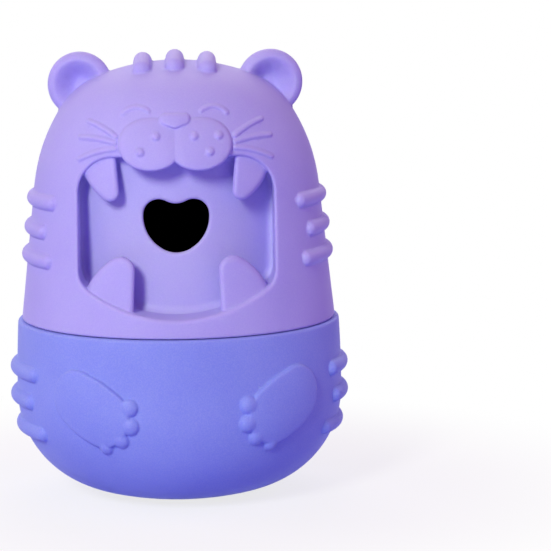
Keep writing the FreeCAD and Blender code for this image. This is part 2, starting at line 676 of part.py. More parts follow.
def drum_section(inset, foot):
    """Half section of the drum, or of its inside, without the foot flange."""
    radius = "drum_radius - (%s)" % inset
    corner = ("drum_radius - drum_corner", "drum_top - drum_corner")
    outline = Outline("0", foot).line(radius, foot).line(radius, corner[1])
    outline.arc(corner[0], "drum_top - (%s)" % inset, corner, "drum_corner - (%s)" % inset)
    outline.line("0", "drum_top - (%s)" % inset)
    return outline.close()


def treat_drum():
    foot = "rim_height - drum_foot_height"
    corner = ("drum_radius - drum_corner", "drum_top - drum_corner")
    bore = "drum_radius - drum_wall"
    outline = Outline(bore, foot).line("spigot_bore - drum_foot_gap", foot)
    outline.line("spigot_bore - drum_foot_gap", "rim_height").line("drum_radius", "rim_height")
    outline.line("drum_radius", corner[1]).arc(corner[0], "drum_top", corner, "drum_corner")
    outline.line("0", "drum_top").line("0", "drum_top - drum_wall")
    outline.line(corner[0], "drum_top - drum_wall")
    outline.arc(bore, corner[1], corner, "drum_corner - drum_wall", True)
    drum = turned("treat_drum", outline.close())
    sketch = body_sketch(drum, "outlet_outline", heart(), "XZ_Plane")
    outlet = drum.newObject("PartDesign::Pocket", "outlet")
    outlet.Profile = sketch
    outlet.Type = 0
    outlet.Reversed = True
    bind(outlet, Length="drum_radius + cut_overlap")
    drum.Tip = outlet
    return drum


def window_outline(margin):
    """Front view of the mouth, or of its wall's outside when a margin is given."""
    half = "(window_half_width + (%s))" % margin
    bottom = "(flange_top + return_wall - (%s))" % margin
    top = "(flange_top + return_wall + window_height + (%s))" % margin
    floor_radius = "(window_floor_radius + (%s))" % margin
    low_corner = "(window_bottom_corner + (%s))" % margin
    high_corner = "(window_top_corner + (%s))" % margin
    floor_middle = ("0", "%s + %s" % (bottom, floor_radius))
    low_x = "(%s - %s)" % (half, low_corner)
    low_z = "(%s + %s - sqrt((%s - %s) ^ 2 - %s ^ 2))" % (
        bottom, floor_radius, floor_radius, low_corner, low_x)
    reach = "%s / (%s - %s)" % (floor_radius, floor_radius, low_corner)
    meet_x = "%s * %s" % (low_x, reach)
    meet_z = "%s + (%s - (%s)) * %s" % (floor_middle[1], low_z, floor_middle[1], reach)
    high = ("%s - %s" % (half, high_corner), "%s - %s" % (top, high_corner))
    outline = Outline("-" + meet_x, meet_z).arc(meet_x, meet_z, floor_middle, floor_radius)
    outline.arc(half, low_z, (low_x, low_z), low_corner)
    outline.line(half, high[1]).arc(high[0], top, high, high_corner)
    outline.line("-(%s)" % high[0], top)
    outline.arc("-" + half, high[1], ("-(%s)" % high[0], high[1]), high_corner)
    outline.line("-" + half, low_z)
    outline.edges.append((("-" + low_x, low_z), low_corner, False))
    return outline


# Places of the fangs: the outer edge is an arc that leaves the circle of the tip as a tangent and
# ends on the side of the mouth. Its turn is the way from the tip's centre to the arc's centre.
for fang, climb in (
        ("upper_fang", "upper_fang_outer_height - upper_fang_tip - upper_fang_tip_radius"),
        ("lower_fang", "lower_fang_tip - lower_fang_tip_radius - lower_fang_outer_height")):
    derive(fang + "_run", "%s_outer - %s_inner - %s_tip_radius" % (fang, fang, fang))
    derive(fang + "_climb", climb)
    derive(fang + "_link", "sqrt(%s_run ^ 2 + %s_climb ^ 2)" % (fang, fang))
    derive(fang + "_swing", "%s_bulge - %s_tip_radius" % (fang, fang))
    derive(fang + "_cosine", "(%s_swing ^ 2 + %s_link ^ 2 - %s_bulge ^ 2) / (2 * %s_swing * %s_link)"
           % ((fang,) * 5))
    derive(fang + "_turn", "atan2(%s_climb; %s_run) + acos(%s_cosine)" % ((fang,) * 3),
           "App::PropertyAngle")
    derive(fang + "_lean_x", "%s_inner + %s_tip_radius * (1 - cos(%s_lean))" % ((fang,) * 3))


def inner_edge_at(fang, climb):
    """Place on a fang's inner edge at a height above its tip's centre, counted towards the root."""
    return "%s_lean_x + (%s - %s_tip_radius * sin(%s_lean)) * tan(%s_lean)" % (fang, climb, fang, fang, fang)


def upper_fang_outline():
    """Fang on the +X side that hangs from the upper corner of the mouth."""
    tip_middle = ("upper_fang_inner + upper_fang_tip_radius", "upper_fang_tip + upper_fang_tip_radius")
    middle = polar(tip_middle, "upper_fang_swing", "upper_fang_turn")
    meet = polar(tip_middle, "upper_fang_tip_radius", "upper_fang_turn + 180 deg")
    root = "flange_top + return_wall + window_height + fang_root"
    outline = Outline(*polar(tip_middle, "upper_fang_tip_radius", "180 - upper_fang_lean"))
    outline.arc(*meet, tip_middle, "upper_fang_tip_radius")
    outline.arc("upper_fang_outer", "upper_fang_outer_height", middle, "upper_fang_bulge")
    outline.line("upper_fang_outer + fang_root", "upper_fang_outer_height + fang_root")
    outline.line("upper_fang_outer + fang_root - window_top_corner / 2", root)
    outline.line(inner_edge_at("upper_fang", "%s - (%s)" % (root, tip_middle[1])), root)
    return outline.close()


def lower_fang_outline():
    """Fang on the +X side that stands on the lower lip."""
    tip_middle = ("lower_fang_inner + lower_fang_tip_radius", "lower_fang_tip - lower_fang_tip_radius")
    middle = polar(tip_middle, "lower_fang_swing", "-lower_fang_turn")
    meet = polar(tip_middle, "lower_fang_tip_radius", "180 deg - lower_fang_turn")
    root = "flange_top + return_wall - fang_root / 2"
    outline = Outline(inner_edge_at("lower_fang", "%s - (%s)" % (tip_middle[1], root)), root)
    outline.line("lower_fang_outer", "lower_fang_outer_height - fang_root")
    outline.line("lower_fang_outer", "lower_fang_outer_height")
    outline.arc(*meet, middle, "lower_fang_bulge")
    outline.arc(*polar(tip_middle, "lower_fang_tip_radius", "180 + lower_fang_lean"),
                tip_middle, "lower_fang_tip_radius")
    return outline.close()


def fangs():
    front = turned("fang_front", dome_outline("fang_setback", "flange_top"))
    back = turned("fang_back", dome_outline("fang_setback + fang_thickness", "flange_top - cut_overlap"))
    layer = cut("fang_layer", front, back)
    plates = []
    for name, outline in (("upper_fang", upper_fang_outline()), ("lower_fang", lower_fang_outline())):
        right = common(name + "_right", mouth_prism(name + "_prism", outline), layer)
        plates += [right, mirrored(name + "_left", right)]
    return plates


derive("dish_radius", "((ear_radius - ear_rim) ^ 2 + ear_dish ^ 2) / (2 * ear_dish)")
derive("back_radius", "((ear_radius - ear_rim) ^ 2 + ear_back ^ 2) / (2 * ear_back)")


def ear():
    """The +X ear: a disc with a round rim, dished in front and swollen behind."""
    rim_middle = "ear_radius - ear_rim"
    outline = Outline("0", "-ear_rim - ear_back")
    outline.arc(rim_middle, "-ear_rim", ("0", "-ear_rim - ear_back + back_radius"), "back_radius")
    outline.arc("ear_radius", "0", (rim_middle, "0"), "ear_rim")
    outline.arc(rim_middle, "ear_rim", (rim_middle, "0"), "ear_rim")
    outline.arc("0", "ear_rim - ear_dish", ("0", "ear_rim - ear_dish + dish_radius"), "dish_radius", True)
    disc = turned("right_ear", outline.close(), "XY_Plane")
    place(disc, "ear_spread", "0", "ear_height", "180 + ear_turn")
    return disc


def tuft(name, offset):
    """A sausage-shaped tuft that follows the crown from front to back."""
    ring_radius = "sqrt((crown_radius + tuft_rise) ^ 2 - (%s) ^ 2)" % offset
    front = "asin(tuft_front / (%s))" % ring_radius
    span = "tuft_length / (%s) * 180 / pi" % ring_radius
    # The ring stands upright across X, and its first end is the front one
    bar = tube(name + "_bar", ring_radius, "tuft_width / 2", span,
               offset, "0", "crown_middle", "-90", "%s - 90 deg" % front, "90")
    ends = []
    for word, angle in (("_front", front), ("_rear", "(%s) - (%s) * 1 deg" % (front, span))):
        ends.append(ball(name + word, "tuft_width / 2", offset, "-(%s) * sin(%s)" % (ring_radius, angle),
                         "crown_middle + (%s) * cos(%s)" % (ring_radius, angle)))
    return fused(name, [bar] + ends)


derive("eye_middle_z", "eye_z - eye_bow")
derive("eye_outer_end", "90 - eye_lean - eye_half_angle")
derive("eye_inner_end", "90 - eye_lean + eye_half_angle")
for whisker in WHISKERS:
    derive(whisker + "_lean", "atan2(%s_out_z - %s_in_z; %s_out_x - %s_in_x)" % ((whisker,) * 4),
           "App::PropertyAngle")


def eye_outline():
    """Front view of the +X eye, a bow that opens downwards."""
    middle = ("eye_x", "eye_middle_z")
    outer = polar(middle, "eye_bow", "eye_outer_end")
    inner = polar(middle, "eye_bow", "eye_inner_end")
    outline = Outline(*polar(middle, "eye_bow + eye_line", "eye_outer_end"))
    outline.arc(*polar(middle, "eye_bow + eye_line", "eye_inner_end"), middle, "eye_bow + eye_line")
    outline.arc(*polar(inner, "eye_line", "eye_inner_end + 90"), inner, "eye_line")
    outline.arc(*polar(middle, "eye_bow - eye_line", "eye_inner_end"), inner, "eye_line")
    outline.arc(*polar(middle, "eye_bow - eye_line", "eye_outer_end"), middle, "eye_bow - eye_line", True)
    outline.arc(*polar(outer, "eye_line", "eye_outer_end - 90"), outer, "eye_line")
    outline.edges.append((outer, "eye_line", False))
    return outline


derive("nose_tip_fall", "nose_depth - nose_corner_radius - nose_tip_radius")
derive("nose_lean", "atan2(nose_tip_fall; nose_corner_x)"
       " + asin((nose_tip_radius - nose_corner_radius) / sqrt(nose_corner_x ^ 2 + nose_tip_fall ^ 2))",
       "App::PropertyAngle")


def nose():
    """A rounded triangle with a flat top that points downwards, cut from a layer on the skin."""
    high = "nose_top - nose_corner_radius"
    right = ("nose_corner_x", high)
    left = ("-nose_corner_x", high)
    tip = ("0", high + " - nose_tip_fall")
    outline = Outline("nose_corner_x", "nose_top").line("-nose_corner_x", "nose_top")
    outline.arc(*polar(left, "nose_corner_radius", "270 deg - nose_lean"), left, "nose_corner_radius")
    outline.line(*polar(tip, "nose_tip_radius", "270 deg - nose_lean"))
    outline.arc(*polar(tip, "nose_tip_radius", "nose_lean - 90 deg"), tip, "nose_tip_radius")
    outline.line(*polar(right, "nose_corner_radius", "nose_lean - 90 deg"))
    outline.edges.append((right, "nose_corner_radius", False))
    return common("nose", mouth_prism("nose_block", outline),
                  turned("nose_face", dome_outline("-nose_proud", "head_foot")))


def face_lines():
    """The eye and the whiskers of the +X side, cut from a layer on the skin."""
    blocks = [mouth_prism("eye_block", eye_outline())]
    for whisker in WHISKERS:
        outline = hull_outline((whisker + "_in_x", whisker + "_in_z"), "whisker_line",
                               (whisker + "_out_x", whisker + "_out_z"), "whisker_line",
                               whisker + "_lean", "90 deg")
        blocks.append(mouth_prism(whisker + "_block", outline))
    face = turned("line_face", dome_outline("-line_rise", "head_foot"))
    return common("right_face_lines", fused("face_blocks", blocks), face)


MUZZLE_STANCE = ("muzzle_spread", "-muzzle_reach", "muzzle_height", "muzzle_turn", "0", "-muzzle_lean")


def freckle_bead(freckle):
    """A bead in the skin of the +X lobe."""
    across = "(%s_x / muzzle_half_width) ^ 2" % freckle
    up = "(%s_z / muzzle_half_height) ^ 2" % freckle
    depth = "freckle_sink - muzzle_half_depth * sqrt(1 - %s - %s)" % (across, up)
    return ball(freckle, "freckle_radius", freckle + "_x", depth, freckle + "_z", within=spot(*MUZZLE_STANCE))


def muzzle():
    """The +X lobe of the muzzle with the freckles that the other lobe has too."""
    lobe = ellipsoid("muzzle_lobe", "muzzle_half_width", "muzzle_half_depth", "muzzle_half_height",
                     *MUZZLE_STANCE)
    return fused("right_muzzle", [lobe] + [freckle_bead(freckle) for freckle in FRECKLES])


def head_relief():
    """All that stands on the head's skin, trimmed to a shallow root inside it."""
    pairs = [ear(), muzzle(), face_lines()]
    relief = pairs + [mirrored(piece.Name.replace("right", "left"), piece) for piece in pairs]
    relief += [tuft("middle_tuft", "0"), tuft("right_tuft", "tuft_spread"), tuft("left_tuft", "-tuft_spread")]
    relief += [nose(), freckle_bead("freckle_outer")]
    for side, word in ((1, "right_"), (-1, "left_")):
        for level in ("head_ridge_high", "head_ridge_middle", "head_ridge_low"):
            relief.append(ridge(word + level, side_radius_at(level) + " + head_ridge_rise", level,
                                level + "_span", "(%d * 90)" % side))
    core = turned("head_core", dome_outline("relief_root", "head_foot"))
    return cut("head_relief", fused("head_relief_whole", relief), core)


def head_shell():
    skin = turned("head_skin", dome_outline("0", "head_foot"))
    cavity = turned("head_cavity", dome_outline("head_wall", "flange_top + lip_thickness"))
    lip_bore = cylinder("lip_bore", "lip_bore_radius", "flange_top",
                        "flange_top + lip_thickness + cut_overlap")
    block = mouth_prism("mouth_block", window_outline("return_wall"), "mouth_draft")
    hollow = cut("head_hollow", fused("head_inside", [cavity, lip_bore]), block)
    collar_bore = cylinder("collar_bore", "flange_radius", "head_foot - cut_overlap", "flange_top")
    window = mouth_prism("mouth_window", window_outline("0"), "mouth_draft")
    drum_seat = turned("drum_seat", drum_section("0", "flange_top - cut_overlap"))
    openings = fused("head_openings", [collar_bore, window, drum_seat])
    shell = cut("head_mouth", cut("head_hollowed", skin, hollow), openings)
    return fused("head_shell", [shell, head_relief()] + fangs())


# Places of the weight in the bottom of the cup
derive("housing_top", "cover_seat + cover_edge")
derive("pocket_radius", "weight_radius + weight_play")
derive("housing_inset", "cup_wall + housing_skin")
derive("rim_bore", cup_radius_at("cover_seat", "cup_wall") + " - housing_rim")
derive("cover_radius", "rim_bore - cover_play")
derive("cover_arc", "(cover_radius ^ 2 + cover_dish ^ 2) / (2 * cover_dish)")


def weight_housing():
    skin = "corner_radius - housing_inset"
    ring_outside = "pocket_radius + pocket_wall"
    ring_top = "pocket_floor + weight_height"
    outline = Outline("0", "cup_floor").line("floor_radius", "cup_floor")
    outline.arc(*polar(BOTTOM, "bottom_radius - cup_wall", "corner_start"),
                BOTTOM, "bottom_radius - cup_wall")
    outline.arc(cup_radius_at("housing_top", "cup_wall"), "housing_top", CORNER, "corner_radius - cup_wall")
    outline.line("rim_bore", "housing_top").line("rim_bore", "cover_seat")
    outline.line(cup_radius_at("cover_seat", "housing_inset"), "cover_seat")
    outline.arc(ring_outside, "corner_z - sqrt((%s) ^ 2 - (%s - corner_x) ^ 2)" % (skin, ring_outside),
                CORNER, skin, True)
    outline.line(ring_outside, ring_top).line("pocket_radius", ring_top)
    outline.line("pocket_radius", "pocket_floor").line("0", "pocket_floor")
    return turned("weight_housing", outline.close())


def counterweight():
    top = "pocket_floor + weight_height"
    outline = Outline("0", "pocket_floor").line("weight_radius - weight_chamfer", "pocket_floor")
    outline.line("weight_radius", "pocket_floor + weight_chamfer")
    outline.line("weight_radius", top + " - weight_chamfer")
    outline.line("weight_radius - weight_chamfer", top).line("0", top)
    return turned("counterweight", outline.close())


def weight_cover():
    foot = "pocket_floor + weight_height + hold_down_play"
    outline = Outline("0", "cover_seat").line("hold_down_radius - hold_down_wall", "cover_seat")
    outline.line("hold_down_radius - hold_down_wall", foot).line("hold_down_radius", foot)
    outline.line("hold_down_radius", "cover_seat").line("cover_radius", "cover_seat")
    outline.line("cover_radius", "housing_top")
    outline.arc("0", "housing_top - cover_dish", ("0", "housing_top - cover_dish + cover_arc"),
                "cover_arc", True)
    return turned("weight_cover", outline.close())


NODES = {
    "head_shell": head_shell,
    "treat_drum": treat_drum,
    "head_collar": head_collar,
    "seal_ring": seal_ring,
    "base_collar": base_collar,
    "base_cup": base_cup,
    "weight_housing": weight_housing,
    "counterweight": counterweight,
    "weight_cover": weight_cover,
}


def build():
    pieces = {}
    for label, make in NODES.items():
        piece = make()
        piece.Label = label
        pieces[label] = piece
    doc.recompute()
    for thing in doc.Objects:
        if "Invalid" in thing.State or "Error" in thing.State:
            raise RuntimeError("%s failed: %s" % (thing.Name, thing.State))
    for label, piece in pieces.items():
        shape = piece.Shape
        if shape.isNull() or not shape.isValid() or len(shape.Solids) != 1:
            raise RuntimeError("%s isn't one sound solid" % label)
    os.makedirs("parts", exist_ok=True)
    for label, piece in pieces.items():
        piece.Shape.exportStep("parts/%s.step" % label)
        print("%-16s %8.2f cm3" % (label, piece.Shape.Volume / 1000))


build()
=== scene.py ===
import itertools
import math

import bpy
import numpy as np
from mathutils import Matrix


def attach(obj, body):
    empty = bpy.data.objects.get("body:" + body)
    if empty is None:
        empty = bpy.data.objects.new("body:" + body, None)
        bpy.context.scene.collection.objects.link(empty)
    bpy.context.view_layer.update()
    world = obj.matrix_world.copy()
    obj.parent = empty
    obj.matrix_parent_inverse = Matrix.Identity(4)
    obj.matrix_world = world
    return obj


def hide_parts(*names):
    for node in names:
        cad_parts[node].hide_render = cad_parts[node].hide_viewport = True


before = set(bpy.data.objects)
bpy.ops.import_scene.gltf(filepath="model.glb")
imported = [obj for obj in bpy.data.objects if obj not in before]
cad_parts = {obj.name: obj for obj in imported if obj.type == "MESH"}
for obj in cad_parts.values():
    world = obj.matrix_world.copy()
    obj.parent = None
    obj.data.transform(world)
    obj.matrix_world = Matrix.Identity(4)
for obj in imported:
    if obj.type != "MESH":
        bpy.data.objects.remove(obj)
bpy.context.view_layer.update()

import openvdb
from mathutils import Matrix

# Treat dispensing dog toy: a soft animal head over a weighted cup.
# Forms are worked out in millimetres in the CAD model's frame and become metres in the last step.
# The face looks towards -Y, the crown is up, and the toy stands on its foot at the origin.

MM = 0.001

# Turned skin of the head
RIM_HEIGHT = 48.9
SEAM = 0.18
HEAD_BASE_RADIUS = 43.5
SIDE_SLOPE = math.radians(6.4)
HEAD_TOP = 120.0
CROWN_RADIUS = 58.0
SHOULDER_RADIUS = 23.5
CHEEK_RADIUS = 49.0
CHEEK_ANGLE = math.radians(32.7)
HEAD_EDGE = 0.5

# Turned skin of the cup
BELLY_RADIUS = 45.2
SIDE_BOW = 0.6
CORNER_RADIUS = 27.5
BOTTOM_RADIUS = 90.3
FOOT_RADIUS = 15.0
CUP_WALL = 3.6
CUP_FLOOR = 4.0
RIM_EDGE = 0.7
FOOT_EDGE = 0.6
COLLAR_SEAT_RADIUS = 42.2
COLLAR_FOOT = 37.0

# Room for the collar and the drum inside the head
COLLAR_BORE = 40.5
COLLAR_TOP = 51.6
LIP_BORE = 36.0
LIP_TOP = 53.6
DRUM_RADIUS = 32.0
DRUM_WALL = 2.0
DRUM_TOP = 107.0
DRUM_CORNER = 9.0
DRUM_FOOT = 46.7
DRUM_FOOT_RADIUS = 34.8
DRUM_FOOT_EDGE = 0.3
SEAT_GRIP = 0.06

# Mouth
MOUTH_HALF_WIDTH = 26.2
MOUTH_BOTTOM = 54.2
MOUTH_TOP = 96.2
MOUTH_TOP_CORNER = 10.0
MOUTH_FLOOR_RADIUS = 44.7
MOUTH_LOW_CORNER = 6.0
MOUTH_PLANE = 37.0
MOUTH_DRAFT = math.tan(math.radians(1.5))
MOUTH_BACK = 8.0
LIP_ROUND = 1.1

# Cove where the drum meets the mouth's wall, tucked behind that wall
COVE_RADIUS = 2.5
COVE_TUCK = 0.3
COVE_REACH = 1.9
COVE_FOOT = 53.8
COVE_TOP = 98.5
COVE_BACK = 14.0

# Fangs: tip's centre, its radius, arc of the outer edge, where that ends, and lean of the inner edge
UPPER_FANG = ((17.5, 87.0), 2.6, 18.7, (24.6, 91.4), math.radians(4.9))
LOWER_FANG = ((14.65, 66.5), 3.6, 18.5, (24.8, 59.1), math.radians(2.5))
FANG_SETBACK = 1.2
FANG_THICKNESS = 3.2
FANG_EDGE = 1.5
FANG_BACK_EDGE = 0.5
FANG_FILLET = 0.2
FANG_FOOT = COLLAR_TOP + 1.0

# Muzzle, nose, eyes, whiskers
LOBE_MIDDLE = (6.45, 99.6)
LOBE_HALF_WIDTH = 8.5
LOBE_HALF_HEIGHT = 6.75
LOBE_SQUARENESS = 2.05
LOBE_EDGE_RISE = 1.35
LOBE_TILT = 0.65
LOBE_CROWN = 0.9
LOBE_ROUND = 0.8
LOBE_ROOT = 3.0
LOBE_FILLET = 0.1
LOBE_CREASE = 0.1
LOBE_CREASE_WIDTH = 0.8
LOBE_LEAST_TILT = 0.08
# Freckles, counted from a lobe's middle; the last one is on one side only
FRECKLES = ((-1.45, 2.25), (2.75, -1.75))
OUTER_FRECKLE = (5.1, 2.25)
FRECKLE_RADIUS = 1.2
FRECKLE_SINK = 0.35
FRECKLE_FILLET = 0.2
NOSE_CORNER = (2.55, 106.05)
NOSE_POINT = (0.0, 106.0)
NOSE_CORNER_RADIUS = 1.5
NOSE_POINT_RADIUS = 2.35
NOSE_RISE = 2.3
NOSE_FALL = 0.03
NOSE_ROUND = 0.7
EYE_MIDDLE = (10.0, 104.25)
EYE_BOW = 4.85
EYE_HALF_ANGLE = math.radians(44.5)
EYE_LEAN = math.radians(6.0)
EYE_LINE = 0.62
LINE_SINK = 0.1
LINE_FILLET = 0.15
# inner end, outer end, bow
WHISKERS = (
    ((15.8, 101.5), (23.0, 105.2), 0.4),
    ((16.0, 99.95), (25.3, 101.0), 0.4),
    ((15.9, 98.45), (25.5, 95.4), 0.55),
)
WHISKER_INNER = 0.82
WHISKER_OUTER = 0.68

# Ears and tufts
EAR_MIDDLE = (26.2, 113.6)
EAR_TURN = math.radians(8.0)
EAR_RIM = 2.6
EAR_RIM_RADIUS = 6.4
EAR_BACK = 1.0
EAR_DISH = 1.9
EAR_DISH_REACH = 7.2
EAR_DISH_FLANK = 6.0
EAR_FILLET = 0.5
TUFT_OFFSETS = (-8.8, 0.0, 8.8)
TUFT_RADIUS = 2.5
TUFT_LIFT = 0.4
TUFT_FRONT = 13.6
TUFT_LENGTH = 14.0
TUFT_FILLET = 0.6

# Ridges on the flanks: height and the angle that each covers
RIDGE_RADIUS = 2.1
HEAD_RIDGE_RISE = -0.4
CUP_RIDGE_RISE = -0.2
CUP_RIDGE_CLIMB = 0.5
RIDGE_FILLET = 0.2
HEAD_RIDGES = ((82.9, 66.0), (74.9, 55.0), (67.3, 66.0))
CUP_RIDGES = ((36.0, 53.0), (28.2, 46.5), (20.0, 58.0))

# Paws, by the angle from the cup's front, the height and the radius
CUP_TURN = math.radians(3.6)
HEEL = (39.9, 32.4, 7.8)
BALL = (30.4, 28.0, 8.2)
PALM_RISE = 1.3
PALM_CROWN = 0.6
PALM_BULGE = 0.4
PALM_ROUND = 0.6
PALM_ROOT = 2.0
PALM_FILLET = 0.1
TOES = ((20.3, 31.1, 2.45), (20.1, 26.1, 2.45), (23.6, 22.1, 2.2), (29.8, 19.7, 2.0))
TOE_RISE = 0.78
TOE_FILLET = 0.25
TOE_LEAST_TILT = 0.1

# Heart-shaped outlet
HEART_LOBE = (4.6, 80.6)
HEART_LOBE_RADIUS = 4.1
HEART_POINT = (0.0, 77.6)
HEART_POINT_RADIUS = 7.1
HEART_FLANK_RADIUS = 9.9
HEART_VALLEY_DEPTH = 1.15
HEART_ROUND = 0.9

# Sampling: spacing for the final part, and how flat a merged face has to be
FINE_STEP = 0.4
EVENNESS = 0.005
# Steps on each side of the surface that hold distances, rounds that pull a mesh on to the form,
# and the least slope that such a pull goes by
BAND_STEPS = 3.0
PULLS = 2
LEAST_SLOPE = 0.05
# Keeps roots and divisions clear of zero
TINY = 1e-6

# Boxes of samples, from corner to corner
HEAD_ROOM = ((-46.4, -47.2, 48.0), (46.4, 46.4, 124.0))
CUP_ROOM = ((-48.8, -48.8, -1.6), (48.8, 48.8, 50.4))
DRUM_ROOM = ((-36.4, -36.4, 45.6), (36.4, 36.4, 108.4))
MOUTH_ROOM = ((-32.0, -48.0, 48.0), (32.0, -6.0, 102.0))
MUZZLE_ROOM = ((-19.0, -50.0, 88.0), (19.0, -20.0, 110.0))
LINES_ROOM = ((-29.0, -44.0, 92.0), (29.0, -8.0, 112.0))
PAWS_ROOM = ((-50.0, -50.0, 12.0), (50.0, 0.0, 44.0))
# Reach on each side of a ridge's, tuft's and ear's middle
RIDGE_ROOM = (50.0, 50.0, 5.0)
TUFT_ROOM = (5.0, 20.0, 10.0)
EAR_ROOM = (13.0, 7.0, 12.0)


# Distances, below zero inside a form

def overlap(a, b, radius=0.0):
    """What two forms share, with the edge between them rounded."""
    if radius == 0.0:
        return np.maximum(a, b)
    corner = np.hypot(np.maximum(a + radius, 0.0), np.maximum(b + radius, 0.0))
    return np.minimum(np.maximum(a, b), -radius) + corner


def join(a, b, radius):
    """Two forms as one, with a fillet between them."""
    return -overlap(-a, -b, radius)


def carve(a, b, radius=0.0):
    """The first form less the second, with the edge rounded."""
    return overlap(a, -b, radius)


def past(across, up, centre, angle):
    """Above zero where a place lies turned on from an angle about a centre."""
    return (up - centre[1]) * math.cos(angle) - (across - centre[0]) * math.sin(angle)


def disc(across, up, centre, radius):
    return np.hypot(across - centre[0], up - centre[1]) - radius


def along(across, up, start, end, bow=0.0):
    """Distance from a line between two points, bowed to its left, and how far along it that is."""
    run = (end[0] - start[0], end[1] - start[1])
    length = math.hypot(*run)
    way = (run[0] / length, run[1] / length)
    u = across - start[0]
    v = up - start[1]
    share = np.clip((u * way[0] + v * way[1]) / length, 0.0, 1.0)
    ahead = u * way[0] + v * way[1] - share * length
    aside = v * way[0] - u * way[1] - bow * 4.0 * share * (1.0 - share)
    return np.hypot(ahead, aside), share


# Places on the head's and cup's turned profiles, as in the CAD model

CROWN_MIDDLE = (0.0, HEAD_TOP - CROWN_RADIUS)
crown_lean = (HEAD_BASE_RADIUS * math.cos(SIDE_SLOPE)
              + (RIM_HEIGHT - CROWN_MIDDLE[1]) * math.sin(SIDE_SLOPE) - CHEEK_RADIUS
              + (CHEEK_RADIUS - SHOULDER_RADIUS) * math.cos(CHEEK_ANGLE - SIDE_SLOPE))
CROWN_ANGLE = SIDE_SLOPE + math.acos(crown_lean / (CROWN_RADIUS - SHOULDER_RADIUS))
SHOULDER_MIDDLE = ((CROWN_RADIUS - SHOULDER_RADIUS) * math.cos(CROWN_ANGLE),
                   CROWN_MIDDLE[1] + (CROWN_RADIUS - SHOULDER_RADIUS) * math.sin(CROWN_ANGLE))
CHEEK_MIDDLE = (SHOULDER_MIDDLE[0] - (CHEEK_RADIUS - SHOULDER_RADIUS) * math.cos(CHEEK_ANGLE),
                SHOULDER_MIDDLE[1] - (CHEEK_RADIUS - SHOULDER_RADIUS) * math.sin(CHEEK_ANGLE))
BOTTOM_MIDDLE = (0.0, math.sqrt(BOTTOM_RADIUS ** 2 - FOOT_RADIUS ** 2))
CORNER_MIDDLE = (BELLY_RADIUS - CORNER_RADIUS,
                 BOTTOM_MIDDLE[1] - math.sqrt((BOTTOM_RADIUS - CORNER_RADIUS) ** 2
                                              - (BELLY_RADIUS - CORNER_RADIUS) ** 2))
CORNER_START = -math.acos(CORNER_MIDDLE[0] / (BOTTOM_RADIUS - CORNER_RADIUS))
SIDE_RADIUS = ((RIM_HEIGHT - CORNER_MIDDLE[1]) ** 2 + SIDE_BOW ** 2) / (2.0 * SIDE_BOW)
SIDE_MIDDLE = (BELLY_RADIUS - SIDE_RADIUS, CORNER_MIDDLE[1])
LOW_CORNER_X = MOUTH_HALF_WIDTH - MOUTH_LOW_CORNER
FLOOR_MIDDLE = (0.0, MOUTH_BOTTOM + MOUTH_FLOOR_RADIUS)
LOW_CORNER = (LOW_CORNER_X, FLOOR_MIDDLE[1]
              - math.sqrt((MOUTH_FLOOR_RADIUS - MOUTH_LOW_CORNER) ** 2 - LOW_CORNER_X ** 2))


def holding_circle(first, first_radius, second, second_radius, radius):
    """Centre of the circle that touches and holds two smaller ones, left of the way between them."""
    link = math.dist(first, second)
    way = math.atan2(second[1] - first[1], second[0] - first[0])
    swing = radius - first_radius
    turn = math.acos((swing ** 2 + link ** 2 - (radius - second_radius) ** 2) / (2.0 * swing * link))
    return (first[0] + swing * math.cos(way + turn), first[1] + swing * math.sin(way + turn))


HEART_FLANK = holding_circle(HEART_POINT, HEART_POINT_RADIUS, HEART_LOBE, HEART_LOBE_RADIUS,
                             HEART_FLANK_RADIUS)
HEART_DIP = HEART_LOBE_RADIUS - HEART_VALLEY_DEPTH
HEART_VALLEY_RADIUS = ((HEART_LOBE[0] ** 2 + HEART_DIP ** 2 - HEART_LOBE_RADIUS ** 2)
                       / (2.0 * HEART_VALLEY_DEPTH))
HEART_VALLEY = (0.0, HEART_LOBE[1] + HEART_DIP + HEART_VALLEY_RADIUS)


def head_radius_at(height):
    return HEAD_BASE_RADIUS - (height - RIM_HEIGHT) * math.tan(SIDE_SLOPE)


def cup_radius_at(height):
    middle, radius = SIDE_MIDDLE, SIDE_RADIUS
    if height < CORNER_MIDDLE[1]:
        middle, radius = CORNER_MIDDLE, CORNER_RADIUS
    return middle[0] + math.sqrt(radius ** 2 - (height - middle[1]) ** 2)


def dome(r, z):
    """Head's skin: straight side, cheek, shoulder and crown."""
    side = (r - HEAD_BASE_RADIUS) * math.cos(SIDE_SLOPE) + (z - RIM_HEIGHT) * math.sin(SIDE_SLOPE)
    cheek = disc(r, z, CHEEK_MIDDLE, CHEEK_RADIUS)
    skin = np.where(past(r, z, CHEEK_MIDDLE, SIDE_SLOPE) > 0.0, cheek, side)
    shoulder = disc(r, z, SHOULDER_MIDDLE, SHOULDER_RADIUS)
    skin = np.where(past(r, z, SHOULDER_MIDDLE, CHEEK_ANGLE) > 0.0, shoulder, skin)
    crown = disc(r, z, CROWN_MIDDLE, CROWN_RADIUS)
    return np.where(past(r, z, SHOULDER_MIDDLE, CROWN_ANGLE) > 0.0, crown, skin)


def tumbler(r, z):
    """Cup's skin: rocking bottom, corner and bowed side."""
    corner = disc(r, z, CORNER_MIDDLE, CORNER_RADIUS)
    bottom = disc(r, z, BOTTOM_MIDDLE, BOTTOM_RADIUS)
    skin = np.where(past(r, z, CORNER_MIDDLE, CORNER_START) > 0.0, corner, bottom)
    return np.where(z > CORNER_MIDDLE[1], disc(r, z, SIDE_MIDDLE, SIDE_RADIUS), skin)


